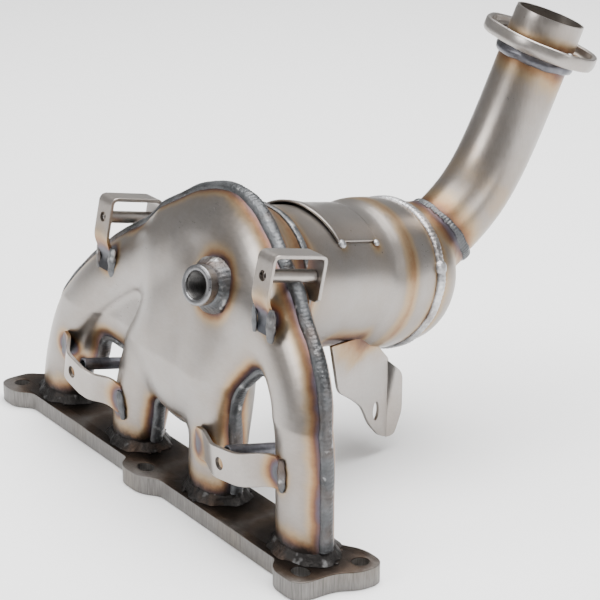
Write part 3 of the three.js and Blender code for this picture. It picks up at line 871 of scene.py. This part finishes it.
port_profile = ((-1.0, 0.05), (5.2, 0.05), (4.3, 1.1), (3.0, 2.3), (1.7, 3.8), (0.8, 5.2), (-1.0, 5.9))
for i, x0 in enumerate(PORTS):
    phase = phases(5)
    n = 150
    sections = []
    for k in range(n):
        a = TURN * k / n
        lump = 1 + 0.2 * math.sin(4 * a + phase[0]) + 0.14 * math.sin(9 * a + phase[1])
        lump += 0.05 * math.sin(17 * a + phase[2])
        ripple = 0.12 * math.sin(31 * a)
        ex, ey = math.cos(a), math.sin(a)
        nx, ny = unit((ex / HALF_X, ey / HALF_Y))
        ring = []
        for out, up in port_profile:
            o = out * (lump if out > 0 else 1) + (ripple if 0 < out < 5 else 0)
            h = up * (0.75 + 0.3 * lump)
            ring.append((x0 + HALF_X * ex + nx * o, PARTING + HALF_Y * ey + ny * o, FOOT + h))
        sections.append(np.array(ring))
    parts = [sweep(sections, closed_path=True)]
    for _ in range(9):
        a = rng.uniform(0, PHASE_LIMIT)
        far = rng.uniform(4.0, 6.5)
        parts.append(blob(x0 + (HALF_X + far) * math.cos(a), PARTING + (HALF_Y + far) * math.sin(a),
                          FOOT + 0.2, rng.uniform(0.7, 1.6), 0.5))
    verts, faces = join(parts)
    verts[:, 2] = np.maximum(verts[:, 2], FLANGE_T + 0.02)
    add_piece(f"port_weld_bead_{i + 1}", (verts, faces), DARK_WELD, 50, "weld", f"port_weld_{i + 1}")

# ------------------------------------------------------------------ converter
can_profile = [
    (NECK_R, 0.2), (NECK_R + 0.4, 3), (NECK_R, 6), (47.2, 9), (CAN_R, 12), (CAN_R, 20), (CAN_R, 35),
    (CAN_R, 50), (CAN_R, 65), (CAN_R, 78), (46.7, 84), (47.6, 88), (49.2, 92.5), (50.5, 97), (51.0, 102),
    (51.15, 108), (51.1, 114), (50.9, 119), (50.3, 124), (49.5, 128), (49, CAN_LENGTH)]
inner_profile = [(r - CAN_WALL, h) for r, h in can_profile[::-1]]


def refined(profile, size):
    """The same closed profile with its long straight runs divided."""
    out = []
    profile = list(profile)
    for (r0, h0), (r1, h1) in zip(profile, profile[1:] + profile[:1]):
        n = max(1, round(math.hypot(r1 - r0, h1 - h0) / size))
        out += [(r0 + (r1 - r0) * k / n, h0 + (h1 - h0) * k / n) for k in range(n)]
    return out


# Heat tint of the can, with a painted highlight round its shoulder and painted shade beside the support
# bracket.
def can_tint(p):
    rel = p - INLET
    t = rel @ AXIS
    side = rel - t[:, None] * AXIS
    angle = np.degrees(np.arctan2(side @ np.cross(AXIS, UP), side @ UP))
    heat = glow(0, 0.58, t - 1, 9)
    # painted highlight: a gold band round the shoulder stands in for its reflection
    heat = glow(heat, 0.36, np.abs(t - 101), 7, 2)
    heat = glow(heat, 0.55, 129 - t, 5.5)
    # painted shade and reflection of the support bracket: a dark band on the can beside it
    bracket_shade_band = np.clip((90 - t) / 10, 0, 1) * np.clip((t - 35) / 12, 0, 1)
    heat = glow(heat, 0.62 * bracket_shade_band, np.abs(angle - 142), 16, 2)
    for spot in (40, 73):
        heat = glow(heat, 0.5, np.hypot(t - spot, (angle - 52) * 0.8), 4)
    return heat


can_shape = lathe(refined(can_profile + inner_profile, 4), CAN_FRAME, 144)
can = new_mesh("converter_can_shell", *can_shape, CAN, 60)
paint(can, can_tint(positions(can)))
finish_piece(can, "can", "converter_can")


def wavy(amount, count, seed):
    """Ripples and a slow wander for a turned bead."""
    phase = phases(1, random.Random(seed))[0]

    def wobble(a, profile):
        crown = profile[:, 0] - profile[:, 0].min() > 1.0
        chevron = profile[:, 1] ** 2 * 0.02
        ripple = amount * np.abs(np.sin(count * a / 2 - chevron + phase))
        slow = 0.35 * amount * (math.sin(7 * a + phase) + math.sin(13 * a))
        shift = 0.3 * math.sin(5 * a + phase) + 0.2 * math.sin(11 * a)
        return np.where(crown, ripple + slow, 0), np.full(len(profile), shift)
    return wobble


def ring_weld(name, node, origin, direction, inner, height, half, material, ripples, amount):
    shape = lathe(bead_profile(inner, height, half), along(origin, direction), 360,
                  wavy(amount, ripples, node))
    add_piece(name, shape, material, 60, "weld", node)


ring_weld("inlet_ring_bead", "inlet_weld", INLET, AXIS, NECK_R, 1.6, 2.8, SEAM, 130, 0.25)
ring_weld("outlet_ring_bead", "outlet_weld", OUTLET, AXIS, 49.2, 2.3, 3.9, BRIGHT_WELD, 110, 0.45)
ring_weld("pipe_ring_bead", "pipe_weld", PIPE_A, DIR_A, SPOUT_R - 0.4, 1.3, 3.6, SEAM, 70, 0.3)

# patch plate: a sheet that stands off the can at its front edge
patch_out = []
rows, cols = 40, 60
for i in range(rows):
    s = i / (rows - 1)
    for j in range(cols):
        degrees = -49 + 98 * (j / (cols - 1))
        start = 29.5 + 5.5 * max(0, (degrees - 14) / 35) ** 1.2
        lift = 0.5 + 1.9 * math.exp(-(s / 0.28) ** 2) * max(0.0, math.cos(math.radians(degrees * 1.3)))
        patch_out.append(can_point(start + s * (73.8 - start), CAN_R + 0.3 + lift, degrees))
patch = new_mesh("patch_sheet", np.array(patch_out), grid_faces(rows, cols), CAN, 40)
modify(patch, "SOLIDIFY", thickness=0.0014, offset=0)
apply_modifiers(patch)
paint(patch, can_tint(positions(patch)) * 0.8)
finish_piece(patch, "can", "patch_plate")

for i, (t, size) in enumerate(((38.5, 3.1), (72.5, 2.3))):
    dot_weld(f"patch_spot_{i + 1}", can_point(t, CAN_R + 1.2, 50.5), outward(50.5), size, 0.7, 12, 20,
             f"patch_spot_weld_{i + 1}")

# the thick start of the outlet weld
dot_weld("outlet_weld_start", OUTLET - 0.6 * AXIS + 50.4 * outward(73), outward(73), 5.2, 0.62, 14, 24)


def chamfered(inner, outer, low, high, size):
    """A ring's section with its four corners cut off."""
    return [(inner, low + size), (inner + size, low), (outer - size, low), (outer, low + size),
            (outer, high - size), (outer - size, high), (inner + size, high), (inner, high - size)]


# what is inside the can
for name, low, high in (("front", 16, 58), ("rear", 66, 106)):
    core = [(0.01, low), (39.2, low), (40, low + 0.8), (40, high - 0.8), (39.2, high), (0.01, high)]
    add_piece(f"brick_{name}", lathe(core, CAN_FRAME), CERAMIC, 35, "ceramic", f"catalyst_brick_{name}")
    mat_end = min(high, 84) - 1
    mat = [(40.3, low + 1), (44.3, low + 1), (44.4, (low + high) / 2), (44.3, mat_end), (40.3, mat_end)]
    add_piece(f"mat_{name}", lathe(mat, CAN_FRAME), MAT, 35, "mat", f"support_mat_{name}")
for name, inner, low, high in (("inlet", 36, 9, 15.7), ("outlet", 40.3, 83.3, 92)):
    add_piece(f"seal_{name}", lathe(chamfered(inner, 44.4, low, high, 0.5), CAN_FRAME), MESH, 35, "mesh",
              f"end_seal_{name}")

# ------------------------------------------------------------------ outlet cone and pipe
def cone_field(p):
    """Negative inside the domed cone and its spout."""
    t, r = axial(p, INLET, AXIS)
    up = np.maximum(t - CAN_LENGTH, 0) / 32.0
    dome = (np.sqrt((r / 49) ** 4 + up ** 4 + 1e-9) ** 0.5 - 1) * 34
    dome = np.maximum(dome, CAN_LENGTH - t)
    s, radius = axial(p, PIPE_A, DIR_A)
    spout = np.maximum(radius - SPOUT_R, np.maximum(s, -46 - s))
    return blend_min(dome, spout, 9)


def build_cone():
    step = 1.4
    low = np.array([-42.0, 132.0, 62.0])
    high = np.array([76.0, 222.0, 176.0])
    p, counts = sample_grid(low, high, step)
    verts, faces = surface_nets(cone_field(p).reshape(counts), low, step)
    obj = new_mesh("outlet_cone_shell", verts, faces, CAN, 180)
    bm = bmesh.new()
    bm.from_mesh(obj.data)
    relax(bm, 2)
    ends = []
    for face in bm.faces:
        c = np.array(face.calc_center_median()) * 1000
        if (c - INLET) @ AXIS < CAN_LENGTH + step * 0.6 or (c - PIPE_A) @ DIR_A > -step * 0.6:
            ends.append(face)
    bmesh.ops.delete(bm, geom=ends, context="FACES")
    bm.to_mesh(obj.data)
    bm.free()
    modify(obj, "SOLIDIFY", thickness=CAN_WALL * 0.001, offset=-1)
    return apply_modifiers(obj)


cone = build_cone()
p = positions(cone)
heat = glow(0, 0.6, (p - INLET) @ AXIS - 134, 6)
paint(cone, glow(heat, 0.62, -((p - PIPE_A) @ DIR_A) - 3, 9))
finish_piece(cone, "can", "outlet_cone")


def bezier(t):
    """The pipe's centre line."""
    a, b = PIPE_A, PIPE_A + 46 * DIR_A
    c, d = PIPE_B - 106 * DIR_B, PIPE_B
    return (1 - t) ** 3 * a + 3 * t * (1 - t) ** 2 * b + 3 * t * t * (1 - t) * c + t ** 3 * d


def tube_along(curve, radii):
    """A tube with walls: rings outside going up and inside coming back."""
    side = unit(np.cross(curve[1] - curve[0], (0.3, -0.8, 0.1)))
    around = 96
    a = np.linspace(0, TURN, around, endpoint=False)[:, None]
    outer, inner = [], []
    for i, c in enumerate(curve):
        d = unit(curve[min(i + 1, len(curve) - 1)] - curve[max(i - 1, 0)])
        side = unit(side - (side @ d) * d)
        ring = np.cos(a) * side + np.sin(a) * np.cross(d, side)
        outer.append(c + radii[i] * ring)
        inner.append(c + (radii[i] - PIPE_WALL) * ring)
    return sweep(outer + inner[::-1], closed_path=True)


steps = 110
curve = np.array([bezier(k / steps) for k in range(steps + 1)])
radii = [PIPE_R] * steps + [PIPE_R - 0.3]
pipe = new_mesh("outlet_pipe_tube", *tube_along(curve, radii), PIPE, 50)
p = positions(pipe)
to_flange = (p - SEAT) @ DIR_B
heat = glow(0, 0.55, (p - PIPE_A) @ DIR_A - 2, 12)
heat = glow(heat, np.where(to_flange < 2, 0.58, 0), -to_flange - 6, 13)
heat = glow(heat, np.where(to_flange < 2, 0, 0.55), to_flange - 5, 7)
# painted highlight: a faint gold patch round the bend stands in for its reflection
heat = glow(heat, 0.24, np.linalg.norm(p - bezier(0.36), axis=1), 30, 2)
paint(pipe, heat)
finish_piece(pipe, "pipe", "outlet_pipe")

# ------------------------------------------------------------------ outlet flange
r0 = PIPE_R + 0.3
seat_frame = along(SEAT, DIR_B)
collar = [(r0, -8.5), (r0 + 1.6, -8.2), (r0 + 2.8, -7), (r0 + 3.3, -5), (r0 + 3.0, -3.2), (r0 + 2.2, -1.8),
          (r0 + 2.2, -0.3), (r0, -0.3)]
add_piece("flange_collar", lathe(collar, seat_frame, 160, wavy(0.12, 60, 3)), DARK_STEEL, 60,
          "weld", "flange_weld")


def oval(grow):
    base = np.array(rounded([(-44, -12, 9), (-22, -36, 14), (22, -36, 14), (44, -12, 9),
                             (44, 12, 9), (22, 36, 14), (-22, 36, 14), (-44, 12, 9)], 7))
    ahead = np.roll(base, -1, 0) - np.roll(base, 1, 0)
    normal = np.stack([ahead[:, 1], -ahead[:, 0]], 1)
    normal /= np.linalg.norm(normal, axis=1)[:, None]
    return base + normal * grow


def dished_flange():
    """A pressed oval: flat floor, rolled rim, as one closed skin, with three holes cut after."""
    loops = []
    profile = [(-6.5, 3.6), (-5.2, 4.0), (-4.2, 5.2), (-3.9, 7.2), (-3.6, 9.0), (-2.6, 9.8), (-1.4, 10),
               (-0.4, 9.4), (0, 8.2), (0, 4.5), (-0.2, 2.2), (-1.2, 0.7), (-3.2, 0), (-8, 0)]
    for grow, h in profile:
        ring = oval(grow)
        loops.append(np.column_stack([ring, np.full(len(ring), h)]))
    verts, faces = sweep(loops)
    turn = np.eye(4)
    c, s = math.cos(0.44), math.sin(0.44)
    turn[:2, :2] = [[c, -s], [s, c]]
    matrix = seat_frame @ turn
    obj = new_mesh("outlet_flange_dish", place(verts, matrix), faces, BRACKET, 35)
    cutters = []
    for x, r in ((0, r0 + 0.15), (-33.8, 5.25), (33.8, 5.25)):
        v, f = lathe([(0.001, -20), (r, -20), (r, 30), (0.001, 30)], matrix @ shift(x, 0, 0), 72)
        cutters.append(new_mesh("cutter", v, f, None))
    return cut(obj, cutters)


def shift(x, y, z):
    m = np.eye(4)
    m[:3, 3] = (x, y, z)
    return m


def cut(obj, cutters):
    for c in cutters:
        merge(c, 0.02)
        modify(obj, "BOOLEAN", operation="DIFFERENCE", object=c, solver="EXACT")
    apply_modifiers(obj)
    for c in cutters:
        mesh = c.data
        bpy.data.objects.remove(c)
        bpy.data.meshes.remove(mesh)
    shade(obj, 35)
    return obj


dish = dished_flange()
paint(dish, glow(0, 0.6, axial(positions(dish), SEAT, DIR_B)[1] - PIPE_R - 1, 4.0))
finish_piece(dish, "bracket", "outlet_flange")

# a tack on the dish's rim
a = math.radians(194)
tack_at = place([(41.6 * math.cos(a), 41.6 * math.sin(a), 9.4)], seat_frame)[0]
dot_weld("flange_tack", tack_at, DIR_B, 1.9, 0.7, 10, 16)

# ------------------------------------------------------------------ sensor bung
bung_frame = along(BUNG, AXIS)


def threaded_sleeve():
    """The bore of the collar, with a real helical thread."""
    length, pitch, around, per = 20.0, 1.5, 72, 8
    rows = []
    for k in range(int(length / pitch) * per - per + 1):
        ring = []
        for j in range(around):
            a = TURN * j / around
            phase = (k / per + j / around) % 1.0
            r = 8.3 - 0.95 * (1 - abs(2 * phase - 1))
            ring.append((math.cos(a) * r, math.sin(a) * r, k / per * pitch + 1.4))
        rows.append(place(ring, bung_frame))
    a = np.linspace(0, TURN, around, endpoint=False)
    for r, h in ((8.9, length - 0.2), (8.9, 0.6), (8.5, 0.6)):
        rows.append(place(np.stack([r * np.cos(a), r * np.sin(a), np.full(around, h)], 1), bung_frame))
    return sweep(rows, closed_path=True)


collar_profile = [(8.95, 20), (BUNG_R, 20), (BUNG_R, 13), (BUNG_R, 6), (BUNG_R, 1.0), (12.3, 0.5),
                  (11.8, 0.1), (11.2, 0), (9.9, 0), (9.3, 0.2), (8.95, 0.7), (8.95, 10)]
add_piece("sensor_bung_collar", lathe(collar_profile, bung_frame), BUNG_STEEL, 30,
          "bung", "oxygen_sensor_bung")
add_piece("sensor_thread", threaded_sleeve(), THREAD, 25, "bung")

bead_section = ((-0.8, 7.0), (0.4, 7.2), (1.4, 8.2), (2.3, 9.8), (3.3, 11.4), (4.4, 12.6), (5.2, 13.6),
                (4.6, 15.5), (-0.8, 15.5))
sections = []
n = 200
for k in range(n):
    a = TURN * k / n
    radial = bung_frame[:3, 0] * math.cos(a) + bung_frame[:3, 1] * math.sin(a)
    rise = 0.5 * math.sin(3 * a)
    lump = 1 + 0.1 * math.sin(3 * a + 1) + 0.05 * math.sin(8 * a)
    ripple = 0.1 * math.sin(30 * a)
    ring = []
    for out, h in bead_section:
        reach = BUNG_R + out * lump + (ripple if 0.3 < out < 5 else 0)
        ring.append(BUNG + radial * reach + AXIS * (h + rise))
    sections.append(np.array(ring))
add_piece("bung_weld_bead", sweep(sections, closed_path=True), SEAM, 60, "weld", "bung_weld")

# ------------------------------------------------------------------ brackets
def bend_path(points, radius, steps=6):
    """A 2-D path whose inner corners are rounded."""
    points = [np.array(q, float) for q in points]
    out = [points[0]]
    for a, b, c in zip(points, points[1:], points[2:]):
        r = min(radius, 0.45 * np.linalg.norm(b - a), 0.45 * np.linalg.norm(c - b))
        p0, p1 = b + unit(a - b) * r, b + unit(c - b) * r
        for k in range(steps + 1):
            s = k / steps
            out.append((1 - s) ** 2 * p0 + 2 * s * (1 - s) * b + s * s * p1)
    out.append(points[-1])
    dense = [out[0]]
    for a, b in zip(out, out[1:]):
        n = max(1, round(np.linalg.norm(b - a) / 2.0))
        dense += [a + (b - a) * k / n for k in range(1, n + 1)]
    return np.array(dense)


def strap(points, width, thickness, radius, matrix, corner=3.0):
    """A bent strap. The path is in the frame's (u, v) plane and the width runs along its third axis."""
    path = bend_path(points, radius)
    lengths = np.concatenate([[0], np.cumsum(np.linalg.norm(np.diff(path, axis=0), axis=1))])
    h = thickness / 2
    e = 0.35  # size of the broken edges
    rings = []
    for i, c in enumerate(path):
        d = unit(path[min(i + 1, len(path) - 1)] - path[max(i - 1, 0)])
        n = np.array([-d[1], d[0]])
        w = width / 2
        for end in (lengths[i], lengths[-1] - lengths[i]):
            if end < corner:
                w -= corner - math.sqrt(max(corner ** 2 - (corner - end) ** 2, 0))
        section = [(-h, -w + e), (-h + e, -w), (h - e, -w), (h, -w + e)]
        across = np.linspace(-w + e, w - e, 7)[1:-1]
        section += [(h, q) for q in across] + [(h, w - e), (h - e, w), (-h + e, w), (-h, w - e)]
        section += [(-h, q) for q in across[::-1]]
        rings.append(np.array([(*(c + n * o), q) for o, q in section]))
    verts, faces = sweep(rings)
    return place(verts, matrix), faces


def drill(obj, matrix, r):
    """Cuts a round hole through a strap, along the frame's Z."""
    depth, count = 8, 40
    ring = ellipse(0.0, 0.0, r, n=count)
    v = np.array([(px, py, h) for h in (-depth, depth) for px, py in ring])
    ends = [tuple(range(count)), tuple(range(count, 2 * count))[::-1]]
    return cut(obj, [new_mesh("cutter", place(v, matrix), grid_faces(2, count, False, True) + ends, None)])


def spacer(place_name, matrix, length, material):
    section = [(4.1, 0.3), (4.1, length - 0.3), (3.8, length), (2.9, length), (2.6, length - 0.3), (2.6, 0.3),
               (2.9, 0), (3.8, 0)]
    add_piece(f"spacer_{place_name}", lathe(section, matrix, 40), material, 30,
              "bracket", f"spacer_tube_{place_name}")


def foot_weld(name, x, y, z, direction, length, size):
    """A short fillet bead beside a bracket's foot, part of the bracket's own weld."""
    rings = []
    n = 26
    d = unit(direction)
    up = np.array([0, -1.0, 0])
    side = np.cross(d, up)
    angles = np.linspace(0, TURN, 14, endpoint=False)
    for k in range(n + 1):
        s = k / n
        rounding = math.sin(math.pi * min(max(s, 0.02), 0.98)) ** 0.22
        swell = size * rounding * (1 + 0.07 * math.sin(17 * s + x))
        c = np.array([x, y, z]) + d * (s - 0.5) * length
        rings.append(np.array([c + side * swell * 1.1 * math.cos(q) + up * swell * 0.55 * math.sin(q)
                               for q in angles]))
    add_piece(f"foot_weld_{name}", sweep(rings), SEAM, 60, "weld")


def tint_near(obj, points, reach):
    p = positions(obj)
    heat = np.zeros(len(p))
    for q in points:
        heat = glow(heat, 0.85, np.linalg.norm(p - np.array(q), axis=1) - reach * 0.5, reach, 1.5)
    paint(obj, heat)


c, s = math.cos(LEAN_ANGLE), math.sin(LEAN_ANGLE)
STRAP_T = 2.5


def leaning(origin):
    """A frame with +X level and +Y up the leaning parting surface."""
    return frame_matrix(origin, (1, 0, 0), (0, s, c), (0, c, -s))


for side, at, foot in (("left", (-74, -4, 164.6), [(6.2, -36), (8.2, -28)]),
                       ("right", (111, -4, 179.2), [(7.6, -36), (8.6, -28)])):
    # u runs back, v up, width along X
    m = frame_matrix(at, (0, c, -s), (0, s, c), (1, 0, 0))
    shape = strap(foot + [(0, -14), (0, 13.4), (38, 13.4), (38, -15)], 16, STRAP_T, 4.0, m)
    bracket = new_mesh(f"shield_bracket_upper_{side}", *shape, BRACKET, 35)
    drill(bracket, leaning(at), 3.4)
    tint_near(bracket, place([(7, -33, 0)], m), 13)
    finish_piece(bracket, "bracket", f"heat_shield_bracket_upper_{side}")
    spacer(f"upper_{side}", leaning(place([(1.55, 0, 0)], m)[0]), 34.9, BRACKET)

# origin, path of the strap, turn about Y, and how far the spacer sits to the side
LOWER = {
    "left": ((-86, -26, 55), [(-34, 13), (-26, 12), (-9, 0), (12, 0), (20, 2), (29, 12), (43, 14)], -0.23, 9),
    "right": ((98, -28, 59.5), [(-46, 14), (-36, 13), (-8, 0), (16, 0), (22, 2), (32, 14), (43, 15.5)],
              0.14, 3),
}
for side, ((x, y, z), legs, tilt, dx) in LOWER.items():
    ct, st = math.cos(tilt), math.sin(tilt)
    m = frame_matrix((x, y, z), (ct, 0, st), (0, 1, 0), (-st, 0, ct))
    path = [(u, v - 1.0 if abs(u) > 25 else v) for u, v in legs]
    bracket = new_mesh(f"shield_bracket_lower_{side}", *strap(path, 21, STRAP_T, 5, m, 2.5), BRACKET, 35)
    drill(bracket, frame_matrix((x, y, z), (ct, 0, st), (-st, 0, ct), (0, -1, 0)), 4.2)
    tint_near(bracket, place([(u, v, 0) for u, v in (legs[0], legs[-1])], m), 8)
    finish_piece(bracket, "bracket", f"heat_shield_bracket_lower_{side}")
    # the lower spacers are dark steel: partly dark scale, partly painted shade between the runners
    spacer(f"lower_{side}", leaning((x + dx, y + 2.55, z + 8)), 36, DARK_STEEL)

for tag, x, y, z in (("a", -74, -4.6, 138), ("b", 111, -5.6, 153.5)):
    foot_weld(f"{tag}_right", x + 9.4, y - 0.4, z - 3, (0.05, 0.05, 1), 20, 3.8)
    foot_weld(f"{tag}_left", x - 8.4, y, z - 3, (-0.05, 0.05, 1), 17, 2.2)
foot_weld("c", -42.6, -14.6, 43, (-0.2, 0, 1), 20, 3.4)
foot_weld("d", 142.5, -14.4, 64.5, (0, 0, 1), 21, 3.4)

# ------------------------------------------------------------------ support bracket
normal = unit((0.95, 0.31, 0))
across = np.cross((0, 0, 1), normal)
support_frame = frame_matrix(can_point(66, CAN_R, 142) + normal * (STRAP_T / 2), across, (0, 0, 1), normal)
outline = rounded([(-16, 2, 1), (-8, -33, 5), (8, -44, 5), (19, -53, 6), (27, -68, 6),
                   (40, -82, 6), (49.5, -86, 2), (49.5, -28, 2), (34, -12, 8), (24, -3, 3)], 6)
slot = ellipse(35.3, -61.7, 3.6, 6.8)
support = plate("support_plate", [outline, slot], STRAP_T, support_frame, BRACKET, 0.3)
fold = frame_matrix(place([(48.6, 0, 0)], support_frame)[0],
                    math.cos(0.5) * across + math.sin(0.5) * normal, (0, 0, 1),
                    -math.sin(0.5) * across + math.cos(0.5) * normal)
outline = rounded([(-0.6, -85.7, 0.4), (6, -85.5, 4), (12, -68, 5), (12, -40, 5), (-0.6, -28.3, 0.4)], 6)
strip = plate("support_strip", [outline], STRAP_T, fold, BRACKET, 0.3)
for obj in (support, strip):
    modify(obj, "TRIANGULATE")
    apply_modifiers(obj)
    paint(obj, glow(0, 0.6, axial(positions(obj), INLET, AXIS)[1] - CAN_R, 5))
finish_piece(support, "bracket", "support_bracket")
finish_piece(strip, "bracket")

# ------------------------------------------------------------------ floor, light, camera
def area_light(name, location, target, size, power):
    light = bpy.data.lights.new(name, "AREA")
    light.shape = "RECTANGLE"
    light.size, light.size_y = size
    light.energy = power
    obj = bpy.data.objects.new(name, light)
    obj.location = location
    obj.rotation_euler = (Vector(target) - Vector(location)).to_track_quat("-Z", "Y").to_euler()
    bpy.context.scene.collection.objects.link(obj)


def stage():
    mat, g = node_material("floor_paint")
    g.shader.inputs["Base Color"].default_value = (0.93, 0.93, 0.93, 1)
    g.shader.inputs["Roughness"].default_value = 0.9
    far, low = 4000, -0.2
    verts = [(-far, -far, low), (far, -far, low), (far, far, low), (-far, far, low)]
    new_mesh("floor", verts, [(0, 1, 2, 3)], mat)

    world = bpy.data.worlds.new("studio")
    bpy.context.scene.world = world
    world.use_nodes = True
    background = world.node_tree.nodes["Background"]
    background.inputs[0].default_value = (1, 1, 1, 1)
    background.inputs[1].default_value = 0.34
    area_light("key", (-0.3, -1.9, 1.5), (0, 0.05, 0.1), (1.1, 0.9), 32)
    area_light("side", (1.9, 0.6, 1.1), (0, 0.1, 0.1), (0.8, 1.3), 20)
    area_light("top", (0.0, 0.4, 2.2), (0, 0.1, 0), (2.4, 2.0), 165)


def camera():
    azimuth, elevation = math.radians(54.33), math.radians(21.17)
    level = math.cos(elevation)
    back = Vector((math.sin(azimuth) * level, -math.cos(azimuth) * level, math.sin(elevation)))
    right = Vector((math.cos(azimuth), math.sin(azimuth), 0))
    up = back.cross(right)
    data = bpy.data.cameras.new("camera")
    data.lens = 118.077
    data.sensor_width = 36
    data.clip_end = 50
    obj = bpy.data.objects.new("camera", data)
    obj.matrix_world = Matrix((
        (right.x, up.x, back.x, 0.9989), (right.y, up.y, back.y, -0.6156),
        (right.z, up.z, back.z, 0.5814), (0, 0, 0, 1)))
    bpy.context.scene.collection.objects.link(obj)
    bpy.context.scene.camera = obj


stage()
camera()
